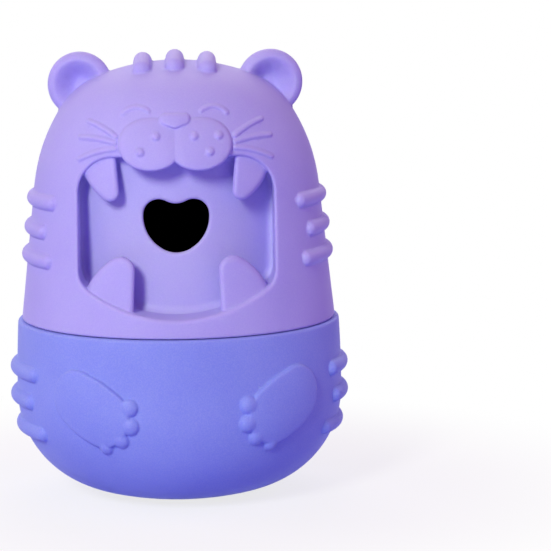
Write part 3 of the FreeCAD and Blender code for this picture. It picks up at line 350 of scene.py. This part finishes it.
def drum_form(r, z, inset, foot):
    """Round tin with a rounded upper edge."""
    body = overlap(r - DRUM_RADIUS + inset, z - DRUM_TOP + inset, DRUM_CORNER - inset)
    return overlap(body, foot - z)


def mouth_form(x, y, z):
    """Opening of the mouth, which narrows inwards."""
    u = np.abs(x)
    low = z < LOW_CORNER[1]
    corner_turn = math.atan2(LOW_CORNER[1] - FLOOR_MIDDLE[1], LOW_CORNER[0])
    wedge = low & (past(u, z, LOW_CORNER, corner_turn) > 0.0)
    edge = np.where(low, disc(u, z, FLOOR_MIDDLE, MOUTH_FLOOR_RADIUS), u - MOUTH_HALF_WIDTH)
    edge = np.where(wedge, disc(u, z, LOW_CORNER, MOUTH_LOW_CORNER), edge)
    opening = overlap(edge, z - MOUTH_TOP, MOUTH_TOP_CORNER) + (MOUTH_PLANE + y) * MOUTH_DRAFT
    return overlap(opening, y + MOUTH_BACK)


def fang_form(u, climb, fang):
    """Front view of a fang, with its climb counted from the tip's centre towards the root."""
    tip, tip_radius, bulge_radius, end, lean = fang
    x = u - tip[0]
    reach = (end[0] - tip[0], abs(end[1] - tip[1]))
    bulge = holding_circle((0.0, 0.0), tip_radius, reach, 0.0, bulge_radius)
    inner = climb * math.sin(lean) - x * math.cos(lean) - tip_radius
    outer = disc(x, climb, bulge, bulge_radius)
    before_inner = x * math.sin(lean) + climb * math.cos(lean) < 0.0
    before_outer = x * bulge[1] - climb * bulge[0] < 0.0
    tip_end = np.hypot(x, climb) - tip_radius
    return np.where(before_inner & before_outer, tip_end, np.maximum(inner, outer))


def heart_form(x, z):
    """Front view of the outlet."""
    u = np.abs(x)
    flank = disc(u, z, HEART_FLANK, HEART_FLANK_RADIUS)
    to_point = math.atan2(HEART_POINT[1] - HEART_FLANK[1], HEART_POINT[0] - HEART_FLANK[0])
    to_lobe = math.atan2(HEART_LOBE[1] - HEART_FLANK[1], HEART_LOBE[0] - HEART_FLANK[0])
    valley_turn = math.atan2(HEART_LOBE[1] - HEART_VALLEY[1], HEART_LOBE[0] - HEART_VALLEY[0])
    lobe = disc(u, z, HEART_LOBE, HEART_LOBE_RADIUS)
    valley = -disc(u, z, HEART_VALLEY, HEART_VALLEY_RADIUS)
    top = np.where(past(u, z, HEART_VALLEY, valley_turn) < 0.0, valley, lobe)
    point = disc(u, z, HEART_POINT, HEART_POINT_RADIUS)
    low = np.where(past(u, z, HEART_FLANK, to_point) < 0.0, point, flank)
    return np.where(past(u, z, HEART_FLANK, to_lobe) > 0.0, top, low)


class Block:
    """A box of even samples that holds a form as distances."""

    def __init__(self, low, high, step):
        self.low = np.array(low, dtype=np.float32)
        self.step = step
        axes = [np.arange(start, end + step, step, dtype=np.float32) for start, end in zip(low, high)]
        self.x = axes[0][:, None, None]
        self.y = axes[1][None, :, None]
        self.z = axes[2][None, None, :]
        self.form = None

    def room(self, low, high):
        """Samples within a smaller box, as a cut of the whole and its three coordinates."""
        ends = (self.x.size, self.y.size, self.z.size)
        cut = []
        for axis in range(3):
            first = int((low[axis] - self.low[axis]) / self.step)
            last = int((high[axis] - self.low[axis]) / self.step) + 2
            cut.append(slice(min(max(first, 0), ends[axis]), min(max(last, 0), ends[axis])))
        return tuple(cut), self.x[cut[0]], self.y[:, cut[1]], self.z[:, :, cut[2]]

    def around(self, middle, reach):
        """Samples within a reach on each side of a middle, as room gives them."""
        return self.room(np.subtract(middle, reach), np.add(middle, reach))

    def sample(self, places):
        cell = np.minimum(np.maximum(places.astype(np.int32), 0), np.array(self.form.shape) - 2)
        part = places - cell
        total = np.zeros(len(places), dtype=np.float32)
        for corner in itertools.product((0, 1), repeat=3):
            weight = np.prod(np.where(corner, part, 1.0 - part), axis=1)
            total += weight * self.form[tuple((cell + corner).T)]
        return total

    def slope(self, places):
        ways = 0.5 * np.eye(3, dtype=np.float32)
        return np.stack([self.sample(places + way) - self.sample(places - way) for way in ways], axis=1)

    def mesh(self, name):
        """The form's surface as a closed Blender mesh in metres."""
        band = BAND_STEPS * self.step
        self.form = np.clip(self.form, -band, band)
        grid = openvdb.FloatGrid(band)
        grid.copyFromArray(self.form)
        places, triangles, quads = grid.convertToPolygons(0.0, EVENNESS)
        for _ in range(PULLS):
            slope = self.slope(places)
            steep = np.maximum(np.sum(slope ** 2, axis=1), LEAST_SLOPE * self.step ** 2)
            pull = np.clip(self.sample(places) / steep, -1.0, 1.0)
            places = places - slope * pull[:, None]
        spots = (places * self.step + self.low) * MM
        mesh = bpy.data.meshes.new(name)
        mesh.from_pydata(spots.tolist(), [], triangles.tolist() + quads.tolist())
        mesh.validate()
        corners = spots[np.array(quads if len(quads) else triangles)]
        facing = np.cross(corners[:, 1] - corners[:, 0], corners[:, 2] - corners[:, 0])
        volume = float(np.sum(facing * corners[:, 0]))
        if volume < 0.0:
            mesh.flip_normals()
        mesh.shade_smooth()
        return mesh

    def shade(self, mesh):
        """Shade the mesh by the form's own slope, which flat triangles follow only roughly."""
        spots = np.empty(len(mesh.vertices) * 3, dtype=np.float32)
        mesh.vertices.foreach_get("co", spots)
        slope = self.slope((spots.reshape(-1, 3) / MM - self.low) / self.step)
        slope /= np.maximum(np.linalg.norm(slope, axis=1), TINY)[:, None]
        mesh.normals_split_custom_set_from_vertices(slope.tolist())


def placed(block, name, body, node, finish):
    """A form as a piece on its body, in the place of its CAD node."""
    mesh = block.mesh(name)
    block.shade(mesh)
    mesh.materials.append(finish)
    piece = bpy.data.objects.new(name, mesh)
    bpy.context.scene.collection.objects.link(piece)
    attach(piece, body)
    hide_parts(node)
    return piece


def flank_ridge(x, y, z, radius, height, span, climb=0.0):
    """A round ridge with ball ends, centred on the side, whose front end stands higher by its climb."""
    u = np.abs(x)
    half = math.radians(span / 2.0)
    turn = np.clip(np.arctan2(y, u), -half, half)
    reach = np.hypot(u - radius * np.cos(turn), y - radius * np.sin(turn))
    return np.hypot(reach, z - height + climb * turn / half) - RIDGE_RADIUS


def add_head_ridges(block):
    for height, span in HEAD_RIDGES:
        cut, x, y, z = block.around((0.0, 0.0, height), RIDGE_ROOM)
        bar = flank_ridge(x, y, z, head_radius_at(height) + HEAD_RIDGE_RISE, height, span)
        block.form[cut] = join(block.form[cut], bar, RIDGE_FILLET)


def add_tufts(block):
    """Short bars with ball ends that follow the crown from front to back."""
    for offset in TUFT_OFFSETS:
        cut, x, y, z = block.around((offset, 0.0, HEAD_TOP), TUFT_ROOM)
        ring = math.sqrt((CROWN_RADIUS + TUFT_LIFT) ** 2 - offset ** 2)
        front = math.asin(TUFT_FRONT / ring)
        turn = np.clip(np.arctan2(-y, z - CROWN_MIDDLE[1]), front - TUFT_LENGTH / ring, front)
        bar = np.hypot(y + ring * np.sin(turn), z - CROWN_MIDDLE[1] - ring * np.cos(turn))
        tuft = np.hypot(bar, x - offset) - TUFT_RADIUS
        block.form[cut] = join(block.form[cut], tuft, TUFT_FILLET)


def add_ears(block):
    """Discs with a round rim and a domed back, dished in front."""
    for side in (-1.0, 1.0):
        cut, x, y, z = block.around((side * EAR_MIDDLE[0], 0.0, EAR_MIDDLE[1]), EAR_ROOM)
        out = x * side - EAR_MIDDLE[0]
        u = out * math.cos(EAR_TURN) + y * math.sin(EAR_TURN)
        ahead = out * math.sin(EAR_TURN) - y * math.cos(EAR_TURN)
        rho = np.hypot(u, z - EAR_MIDDLE[1])
        back = -EAR_RIM - EAR_BACK * (1.0 - np.minimum(rho / EAR_RIM_RADIUS, 1.0) ** 2)
        plate = np.maximum(np.maximum(ahead - EAR_RIM, back - ahead), rho - EAR_RIM_RADIUS)
        ear = np.minimum(plate, np.hypot(rho - EAR_RIM_RADIUS, ahead) - EAR_RIM)
        fall = np.clip((EAR_DISH_REACH - rho) / EAR_DISH_FLANK, 0.0, 1.0)
        front = EAR_RIM - (EAR_RIM + EAR_DISH) * fall ** 2 * (3.0 - 2.0 * fall)
        ear = overlap(ear, ahead - front)
        block.form[cut] = join(block.form[cut], ear, EAR_FILLET)


def open_mouth(block, skin):
    """The mouth, and the fangs that stand back in it."""
    cut, x, y, z = block.room(*MOUTH_ROOM)
    opened = carve(block.form[cut], mouth_form(x, y, z), LIP_ROUND)
    here = skin[cut]
    for outline in (fang_form(np.abs(x), z - UPPER_FANG[0][1], UPPER_FANG),
                    fang_form(np.abs(x), LOWER_FANG[0][1] - z, LOWER_FANG)):
        plate = overlap(outline, here + FANG_SETBACK, FANG_EDGE)
        plate = overlap(plate, -(here + FANG_SETBACK + FANG_THICKNESS), FANG_BACK_EDGE)
        plate = overlap(plate, FANG_FOOT - z)
        opened = join(opened, plate, FANG_FILLET)
    block.form[cut] = opened


def add_muzzle(block, skin):
    """Two lobes with their freckles."""
    cut, x, y, z = block.room(*MUZZLE_ROOM)
    here = skin[cut]
    u = np.abs(x)
    a = (u - LOBE_MIDDLE[0]) / LOBE_HALF_WIDTH
    b = (z - LOBE_MIDDLE[1]) / LOBE_HALF_HEIGHT
    n = LOBE_SQUARENESS
    swell = (np.abs(a) ** n + np.abs(b) ** n + TINY) ** (1.0 / n)
    tilt = swell ** (1.0 - n) * np.hypot(np.abs(a) ** (n - 1.0) / LOBE_HALF_WIDTH,
                                         np.abs(b) ** (n - 1.0) / LOBE_HALF_HEIGHT)
    outline = (swell - 1.0) / np.maximum(tilt, LOBE_LEAST_TILT)
    rise = LOBE_EDGE_RISE - LOBE_TILT * np.clip(b, -1.0, 1.0)
    rise = rise + LOBE_CROWN * np.sqrt(np.maximum(1.0 - swell ** 2, 0.0))
    rise = rise - LOBE_CREASE * np.exp(-(x / LOBE_CREASE_WIDTH) ** 2)
    lobes = overlap(outline, here - rise, LOBE_ROUND)
    lobes = overlap(lobes, -(here + LOBE_ROOT), LOBE_EDGE_RISE)
    face = join(block.form[cut], lobes, LOBE_FILLET)
    for (across, up), side in [(freckle, u) for freckle in FRECKLES] + [(OUTER_FRECKLE, x)]:
        aside = np.hypot(side - LOBE_MIDDLE[0] - across, z - LOBE_MIDDLE[1] - up)
        freckle = np.hypot(aside, lobes + FRECKLE_SINK) - FRECKLE_RADIUS
        face = join(face, freckle, FRECKLE_FILLET)
    block.form[cut] = face


def add_nose(block, skin):
    """A button, flat above and pointed below."""
    cut, x, y, z = block.room(*MUZZLE_ROOM)
    here = skin[cut]
    top, _ = along(x, z, (-NOSE_CORNER[0], NOSE_CORNER[1]), NOSE_CORNER)
    side, share = along(np.abs(x), z, NOSE_POINT, NOSE_CORNER)
    flank = side - NOSE_POINT_RADIUS - (NOSE_CORNER_RADIUS - NOSE_POINT_RADIUS) * share
    outline = np.minimum(top - NOSE_CORNER_RADIUS, flank)
    outline = overlap(outline, z - NOSE_CORNER[1] - NOSE_CORNER_RADIUS)
    bulge = here - NOSE_RISE + NOSE_FALL * (x ** 2 + (z - NOSE_CORNER[1]) ** 2)
    nose = overlap(overlap(outline, bulge, NOSE_ROUND), -(here + LOBE_ROOT))
    block.form[cut] = join(block.form[cut], nose, LOBE_FILLET)


def add_lines(block, skin):
    """Closed eyes and whiskers as raised lines."""
    cut, x, y, z = block.room(*LINES_ROOM)
    here = skin[cut]
    u = np.abs(x)
    turn = np.arctan2(u - EYE_MIDDLE[0], z - EYE_MIDDLE[1])
    turn = np.clip(turn, EYE_LEAN - EYE_HALF_ANGLE, EYE_LEAN + EYE_HALF_ANGLE)
    aside = np.hypot(u - EYE_MIDDLE[0] - EYE_BOW * np.sin(turn),
                     z - EYE_MIDDLE[1] - EYE_BOW * np.cos(turn))
    lines = np.hypot(aside, here + LINE_SINK) - EYE_LINE
    for inner, outer, bend in WHISKERS:
        aside, share = along(u, z, inner, outer, bend)
        width = WHISKER_INNER + (WHISKER_OUTER - WHISKER_INNER) * share
        lines = np.minimum(lines, np.hypot(aside, here + LINE_SINK) - width)
    block.form[cut] = join(block.form[cut], lines, LINE_FILLET)


def shape_head(step):
    block = Block(*HEAD_ROOM, step)
    r = np.hypot(block.x, block.y)
    skin = dome(r, block.z)
    block.form = overlap(skin, RIM_HEIGHT + SEAM - block.z, HEAD_EDGE)
    add_head_ridges(block)
    add_tufts(block)
    add_ears(block)
    open_mouth(block, skin)
    add_muzzle(block, skin)
    add_nose(block, skin)
    add_lines(block, skin)

    # Room for drum and collar
    seat = drum_form(r, block.z, SEAT_GRIP, 0.0)
    seat = np.minimum(seat, np.maximum(r - LIP_BORE, block.z - LIP_TOP))
    seat = np.minimum(seat, np.maximum(r - COLLAR_BORE, block.z - COLLAR_TOP))
    block.form = carve(block.form, seat)
    return block


def on_cup(x, y):
    """Places counted from the cup's own front and side."""
    return (x * math.cos(CUP_TURN) + y * math.sin(CUP_TURN),
            y * math.cos(CUP_TURN) - x * math.sin(CUP_TURN))


def add_cup_ridges(block):
    for height, span in CUP_RIDGES:
        cut, x, y, z = block.around((0.0, 0.0, height), RIDGE_ROOM)
        reach = cup_radius_at(height) + CUP_RIDGE_RISE
        bar = flank_ridge(*on_cup(x, y), z, reach, height, span, CUP_RIDGE_CLIMB)
        block.form[cut] = join(block.form[cut], bar, RIDGE_FILLET)


def add_paws(block, skin):
    """Flat palms with domed toes, laid out on the cup's unrolled side."""
    cut, x, y, z = block.room(*PAWS_ROOM)
    x, y = on_cup(x, y)
    here = skin[cut]
    reach = BELLY_RADIUS * np.arctan2(np.abs(x), -y)
    heel = (BELLY_RADIUS * math.radians(HEEL[0]), HEEL[1])
    ball = (BELLY_RADIUS * math.radians(BALL[0]), BALL[1])
    aside, share = along(reach, z, heel, ball)
    width = HEEL[2] + (BALL[2] - HEEL[2]) * share + PALM_BULGE * 4.0 * share * (1.0 - share)
    rise = PALM_RISE + PALM_CROWN * np.maximum(1.0 - (aside / width) ** 2, 0.0)
    pad = overlap(overlap(aside - width, here - rise, PALM_ROUND), -(here + PALM_ROOT))
    face = join(block.form[cut], pad, PALM_FILLET)
    for azimuth, height, radius in TOES:
        spread = np.hypot(reach - BELLY_RADIUS * math.radians(azimuth), z - height) / radius
        climb = here / (radius * TOE_RISE)
        swell = np.hypot(spread, climb)
        tilt = np.maximum(np.hypot(spread, climb / TOE_RISE), TOE_LEAST_TILT)
        face = join(face, (swell - 1.0) * swell * radius / tilt, TOE_FILLET)
    block.form[cut] = face


def shape_cup(step):
    block = Block(*CUP_ROOM, step)
    r = np.hypot(block.x, block.y)
    skin = tumbler(r, block.z)
    form = overlap(overlap(skin, -block.z, FOOT_EDGE), block.z - RIM_HEIGHT, RIM_EDGE)
    hollow = overlap(skin + CUP_WALL, CUP_FLOOR - block.z)
    seat = np.maximum(r - COLLAR_SEAT_RADIUS, COLLAR_FOOT - block.z)
    block.form = carve(form, np.minimum(hollow, seat))
    add_cup_ridges(block)
    add_paws(block, skin)
    return block


def shape_drum(step):
    block = Block(*DRUM_ROOM, step)
    r = np.hypot(block.x, block.y)
    wall = drum_form(r, block.z, 0.0, RIM_HEIGHT)
    cove = join(wall, COVE_TUCK - mouth_form(block.x, block.y, block.z), COVE_RADIUS)
    cove = overlap(cove, r - DRUM_RADIUS - COVE_REACH)
    cove = overlap(cove, np.maximum(COVE_FOOT - block.z, block.z - COVE_TOP))
    wall = np.minimum(wall, overlap(cove, block.y + COVE_BACK))
    flange = np.abs(block.z - (DRUM_FOOT + RIM_HEIGHT) / 2.0) - (RIM_HEIGHT - DRUM_FOOT) / 2.0
    flange = overlap(r - DRUM_FOOT_RADIUS, flange, DRUM_FOOT_EDGE)
    inside = drum_form(r, block.z, DRUM_WALL, 0.0)
    block.form = carve(np.minimum(wall, flange), inside)
    outlet = overlap(heart_form(block.x, block.z), block.y)
    block.form = carve(block.form, outlet, HEART_ROUND)
    return block


# Finishes

class Value:
    """A number or colour of a finish; the operators on numbers add its Math nodes."""

    def __init__(self, finish, socket):
        self.finish = finish
        self.socket = socket

    def _sum(self, operation, first, second):
        return self.finish.node("ShaderNodeMath", {"operation": operation}, {0: first, 1: second})

    def __add__(self, other):
        return self._sum("ADD", self, other)

    def __radd__(self, other):
        return self._sum("ADD", other, self)

    def __mul__(self, other):
        return self._sum("MULTIPLY", self, other)

    def __rmul__(self, other):
        return self._sum("MULTIPLY", other, self)


class Finish:
    """A material's nodes."""

    def __init__(self, name, world=None):
        self.owner = world or bpy.data.materials.new(name)
        self.owner.use_nodes = True
        self.tree = self.owner.node_tree
        self.tree.nodes.clear()

    def node(self, kind, settings=None, sockets=None, out=0):
        """Add a node: its settings first, then the values or links of its sockets."""
        made = self.tree.nodes.new(kind)
        for name, setting in (settings or {}).items():
            setattr(made, name, setting)
        for name, given in (sockets or {}).items():
            if isinstance(given, Value):
                self.tree.links.new(given.socket, made.inputs[name])
            else:
                made.inputs[name].default_value = given
        return Value(self, made.outputs[out]) if len(made.outputs) else None

    def mix(self, share, first, second):
        """Colour between two colours."""
        return self.node("ShaderNodeMix", {"data_type": "RGBA"}, {0: share, 6: first, 7: second}, 2)

    def noise(self, spot, scale, detail, roughness):
        return self.node("ShaderNodeTexNoise", {"noise_dimensions": "3D"},
                         {"Vector": spot, "Scale": scale, "Detail": detail, "Roughness": roughness})

    def spot(self):
        return self.node("ShaderNodeTexCoord", out=3)

    def ease(self, value, low, high):
        """Zero below a value and one above another, with a soft change between."""
        return self.node("ShaderNodeMapRange", {"interpolation_type": "SMOOTHSTEP"},
                         {0: value, 1: low, 2: high, 3: 0.0, 4: 1.0})

    def bump(self, height, strength, distance, under=None):
        sockets = {"Height": height, "Strength": strength, "Distance": distance}
        if under:
            sockets["Normal"] = under
        return self.node("ShaderNodeBump", None, sockets)

    def surface(self, sockets):
        shader = self.node("ShaderNodeBsdfPrincipled", None, sockets)
        self.node("ShaderNodeOutputMaterial", None, {"Surface": shader})
        return self.owner


def tone(red, green, blue):
    """A colour from its screen values of 0 to 255."""
    linear = [(part / 255.0 / 12.92) if part <= 10 else ((part / 255.0 + 0.055) / 1.055) ** 2.4
              for part in (red, green, blue)]
    return (*linear, 1.0)


SPECKLE = tone(236, 232, 255)
HEAD_PALE = tone(187, 177, 243)
HEAD_DEEP = tone(181, 170, 240)
CUP_PALE = tone(145, 159, 242)
CUP_DEEP = tone(137, 151, 239)
# The drum's lilac is paler than the head's: painted light that brightens the recessed back wall of the
# mouth.
DRUM_PALE_WITH_PAINTED_LIGHT = tone(192, 186, 243)
DRUM_DEEP_WITH_PAINTED_LIGHT = tone(186, 179, 241)
SEAL_PALE = tone(214, 214, 226)
SEAL_DEEP = tone(204, 204, 220)
HEAD_COLLAR_PALE = tone(172, 160, 236)
HEAD_COLLAR_DEEP = tone(164, 152, 230)
CUP_COLLAR_PALE = tone(134, 138, 236)
CUP_COLLAR_DEEP = tone(126, 130, 230)
HOUSING_PALE = tone(196, 197, 204)
HOUSING_DEEP = tone(184, 186, 196)
COVER_PALE = tone(128, 133, 232)
COVER_DEEP = tone(120, 125, 226)
STEEL_PALE = tone(186, 188, 192)
STEEL_STAIN = tone(158, 161, 166)
# Near-black painted shade for the drum's inside
PAINTED_SHADE_DARK = tone(3, 2, 7)
PAINTED_SHADE_LIGHT = tone(9, 7, 18)
# Roughness of each finish before its grain
SKIN_GLOSS = 0.52
DRUM_GLOSS = 0.46
SEAL_GLOSS = 0.38
COLLAR_GLOSS = 0.34
HOUSING_GLOSS = 0.40
COVER_GLOSS = 0.36


def silicone(name, pale, deep, gloss):
    """Matte moulded silicone with a fine grain, faint clouding and a soft sheen on its rubbed highs."""
    finish = Finish(name)
    spot = finish.spot()
    cloud = finish.noise(spot, scale=38.0, detail=3.0, roughness=0.55)
    grain = finish.noise(spot, scale=2600.0, detail=2.0, roughness=0.6)
    pores = finish.noise(spot, scale=900.0, detail=3.0, roughness=0.6)
    speckle = finish.ease(grain, 0.32, 0.72)
    colour = finish.mix(finish.ease(cloud, 0.30, 0.72), pale, deep)
    colour = finish.mix(0.10 * speckle, colour, SPECKLE)
    rubbed = finish.noise(spot, scale=70.0, detail=4.0, roughness=0.6)
    rough = gloss + 0.10 * rubbed + 0.05 * grain
    normal = finish.bump(pores, strength=0.35, distance=0.00012)
    normal = finish.bump(grain, strength=0.45, distance=0.00006, under=normal)
    return finish.surface({
        "Base Color": colour,
        "Roughness": rough,
        "Normal": normal,
        "IOR": 1.41,
        "Specular IOR Level": 0.42,
        "Subsurface Weight": 0.25,
        "Subsurface Radius": (1.0, 0.5, 1.0),
        "Subsurface Scale": 0.0018,
        "Sheen Weight": 0.06,
        "Sheen Roughness": 0.5,
    })


def moulded_plastic(name, pale, deep, gloss):
    """Satin injection-moulded plastic with fine spark texture and faint flow clouds."""
    finish = Finish(name)
    spot = finish.spot()
    cloud = finish.noise(spot, scale=55.0, detail=3.0, roughness=0.5)
    spark = finish.noise(spot, scale=3200.0, detail=2.0, roughness=0.5)
    colour = finish.mix(finish.ease(cloud, 0.3, 0.7), pale, deep)
    return finish.surface({
        "Base Color": colour,
        "Roughness": gloss + 0.12 * spark,
        "Normal": finish.bump(spark, strength=0.4, distance=0.00004),
        "IOR": 1.49,
        "Subsurface Weight": 0.05,
        "Subsurface Scale": 0.001,
    })


def turned_steel(name):
    """Steel disc with the fine rings that a lathe leaves."""
    finish = Finish(name)
    spot = finish.spot()
    rings = finish.node("ShaderNodeTexWave", {"wave_type": "RINGS", "rings_direction": "Z"},
                        {"Vector": spot, "Scale": 900.0, "Distortion": 0.4, "Detail": 2.0})
    stain = finish.noise(spot, scale=90.0, detail=4.0, roughness=0.6)
    colour = finish.mix(finish.ease(stain, 0.3, 0.75), STEEL_PALE, STEEL_STAIN)
    return finish.surface({
        "Base Color": colour,
        "Metallic": 1.0,
        "Roughness": 0.26 + 0.16 * stain + 0.05 * rings,
        "Normal": finish.bump(rings, strength=0.3, distance=0.00003),
    })


def painted_shade_lining(name):
    """Inside of the drum, coloured near black as painted shade for the dark seen through the outlet."""
    finish = Finish(name)
    spot = finish.spot()
    cloud = finish.noise(spot, scale=120.0, detail=3.0, roughness=0.5)
    colour = finish.mix(cloud, PAINTED_SHADE_DARK, PAINTED_SHADE_LIGHT)
    return finish.surface({
        "Base Color": colour,
        "Roughness": 0.85 + 0.1 * cloud,
        "Normal": finish.bump(cloud, strength=0.2, distance=0.0002),
        "Specular IOR Level": 0.05,
    })


head_skin = silicone("lilac_silicone", HEAD_PALE, HEAD_DEEP, SKIN_GLOSS)
cup_skin = silicone("periwinkle_silicone", CUP_PALE, CUP_DEEP, SKIN_GLOSS)
# Drum silicone lightened as painted light on the mouth's back wall.
drum_skin_painted_light = silicone("lilac_drum_painted_light", DRUM_PALE_WITH_PAINTED_LIGHT, DRUM_DEEP_WITH_PAINTED_LIGHT, DRUM_GLOSS)

step = FINE_STEP
placed(shape_head(step), "toy_head", "head", "head_shell", head_skin)
placed(shape_cup(step), "toy_cup", "base", "base_cup", cup_skin)
drum = placed(shape_drum(step), "toy_drum", "head", "treat_drum", drum_skin_painted_light)

# The drum's inner faces get a near-black finish: painted shade where the inside lies in shade.
drum.data.materials.append(painted_shade_lining("painted_shade_drum_inside"))
for face in drum.data.polygons:
    centre = face.center / MM
    within = math.hypot(centre.x, centre.y) < DRUM_RADIUS - DRUM_WALL / 2.0
    if within and centre.z < DRUM_TOP - DRUM_WALL / 2.0:
        face.material_index = 1

CAD_FINISHES = {
    "head_collar": moulded_plastic("collar_lilac", HEAD_COLLAR_PALE, HEAD_COLLAR_DEEP, COLLAR_GLOSS),
    "base_collar": moulded_plastic("collar_periwinkle", CUP_COLLAR_PALE, CUP_COLLAR_DEEP, COLLAR_GLOSS),
    "seal_ring": silicone("seal_silicone", SEAL_PALE, SEAL_DEEP, SEAL_GLOSS),
    "weight_housing": moulded_plastic("housing_grey", HOUSING_PALE, HOUSING_DEEP, HOUSING_GLOSS),
    "weight_cover": moulded_plastic("cover_periwinkle", COVER_PALE, COVER_DEEP, COVER_GLOSS),
    "counterweight": turned_steel("turned_steel"),
}
for node, finish in CAD_FINISHES.items():
    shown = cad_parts[node]
    shown.data.materials.clear()
    shown.data.materials.append(finish)


# Floor, world, lamps and camera

LOOKING = ("Is Camera Ray", "Is Glossy Ray", "Is Transmission Ray")
WHITE = (1.0, 1.0, 1.0, 1.0)
# Floor: colour to the eye and to bounced light, its size, how white it glows under the toy, and the
# distances between which that grows to plain white
FLOOR_WHITE = (0.97, 0.97, 0.98, 1.0)
FLOOR_BOUNCE = (0.42, 0.42, 0.90, 1.0)
FLOOR_REACH = 8.0
FLOOR_DROP = 0.0002
SHADOW_WHITE = 0.78
SHADOW_FADE = (0.06, 0.15)
SKY = (0.86, 0.42, 1.0, 1.0)
SKY_STRENGTH = 0.31

# Lamps: turn to the camera's left, climb, width and height, power and colour
LAMPS = {
    "key": (22.0, 26.0, (0.20, 0.30), 6.1, (0.95, 1.0, 0.86)),
    "left_fill": (100.0, 25.0, (0.50, 0.50), 1.3, (1.0, 1.0, 0.85)),
    "back_fill": (180.0, 45.0, (0.80, 0.80), 2.5, (1.0, 1.0, 1.0)),
    "rose_fill": (-100.0, 25.0, (0.50, 0.50), 1.0, (1.0, 0.50, 0.90)),
}
LAMP_DISTANCE = 1.0
LAMP_AIM = 0.065

# Camera that matches the photograph
CAMERA_DISTANCE = 0.670
CAMERA_HEIGHT = 0.15266
CAMERA_TURN = 0.37
CAMERA_TILT = 82.294
CAMERA_ROLL = -0.86
CAMERA_LENS = 158.75
CAMERA_SENSOR = 36.0
CAMERA_SHIFT = (0.1774, -0.0127)
CAMERA_CLIP = (0.05, 50.0)


def looked_at(finish):
    """One for what the camera sees, also mirrored or through glass, and zero for bounced light."""
    light = [finish.node("ShaderNodeLightPath", out=name) for name in LOOKING]
    return finish.node("ShaderNodeMath", {"operation": "ADD", "use_clamp": True},
                       {0: light[0] + light[1], 1: light[2]})


def white_floor():
    """White floor that keeps the toy's soft shadow and fades into the white round it."""
    finish = Finish("white_floor")
    away = finish.node("ShaderNodeVectorMath", {"operation": "LENGTH"}, {0: finish.spot()}, 1)
    seen = looked_at(finish)
    plain = finish.node("ShaderNodeBsdfPrincipled", None, {
        "Base Color": finish.mix(seen, FLOOR_BOUNCE, FLOOR_WHITE),
        "Roughness": 1.0,
        "Specular IOR Level": 0.0,
    })
    white = finish.node("ShaderNodeEmission", None, {"Color": WHITE, "Strength": 1.0})
    share = seen * (SHADOW_WHITE + (1.0 - SHADOW_WHITE) * finish.ease(away, *SHADOW_FADE))
    mixed = finish.node("ShaderNodeMixShader", None, {0: share, 1: plain, 2: white})
    finish.node("ShaderNodeOutputMaterial", None, {"Surface": mixed})
    return finish.owner


floor_mesh = bpy.data.meshes.new("floor")
floor_signs = ((-1, -1), (1, -1), (1, 1), (-1, 1))
floor_corners = [(x * FLOOR_REACH, y * FLOOR_REACH, 0.0) for x, y in floor_signs]
floor_mesh.from_pydata(floor_corners, [], [(0, 1, 2, 3)])
floor_mesh.materials.append(white_floor())
floor = bpy.data.objects.new("floor", floor_mesh)
floor.location.z = -FLOOR_DROP
bpy.context.scene.collection.objects.link(floor)

world = bpy.data.worlds.new("studio")
bpy.context.scene.world = world
sky = Finish("studio", world)
around = sky.node("ShaderNodeBackground", None, {"Color": SKY, "Strength": SKY_STRENGTH})
behind = sky.node("ShaderNodeBackground", None, {"Color": WHITE, "Strength": 1.0})
both = sky.node("ShaderNodeMixShader", None, {0: looked_at(sky), 1: around, 2: behind})
sky.node("ShaderNodeOutputWorld", None, {"Surface": both})


def lamp(name, turn, climb, size, power, colour):
    """An oval lamp that looks at the toy's middle."""
    light = bpy.data.lights.new(name, "AREA")
    light.shape = "ELLIPSE"
    light.size, light.size_y = size
    light.energy = power
    light.color = colour
    holder = bpy.data.objects.new(name, light)
    round_toy = Matrix.Rotation(-math.radians(turn), 4, "Z")
    lean = Matrix.Rotation(math.radians(90.0 - climb), 4, "X")
    middle = Matrix.Translation((0.0, 0.0, LAMP_AIM))
    holder.matrix_world = middle @ round_toy @ lean @ Matrix.Translation((0.0, 0.0, LAMP_DISTANCE))
    bpy.context.scene.collection.objects.link(holder)


for lamp_name, lamp_values in LAMPS.items():
    lamp(lamp_name, *lamp_values)

view = bpy.data.cameras.new("photo_view")
view.sensor_width = CAMERA_SENSOR
view.lens = CAMERA_LENS
view.shift_x, view.shift_y = CAMERA_SHIFT
view.clip_start, view.clip_end = CAMERA_CLIP
camera = bpy.data.objects.new("photo_view", view)
round_toy = Matrix.Rotation(math.radians(CAMERA_TURN), 4, "Z")
place = Matrix.Translation((0.0, -CAMERA_DISTANCE, CAMERA_HEIGHT))
tilt = Matrix.Rotation(math.radians(CAMERA_TILT), 4, "X")
roll = Matrix.Rotation(math.radians(CAMERA_ROLL), 4, "Z")
camera.matrix_world = round_toy @ place @ (tilt @ roll)
bpy.context.scene.collection.objects.link(camera)
bpy.context.scene.camera = camera
bpy.context.scene.view_settings.view_transform = "Standard"
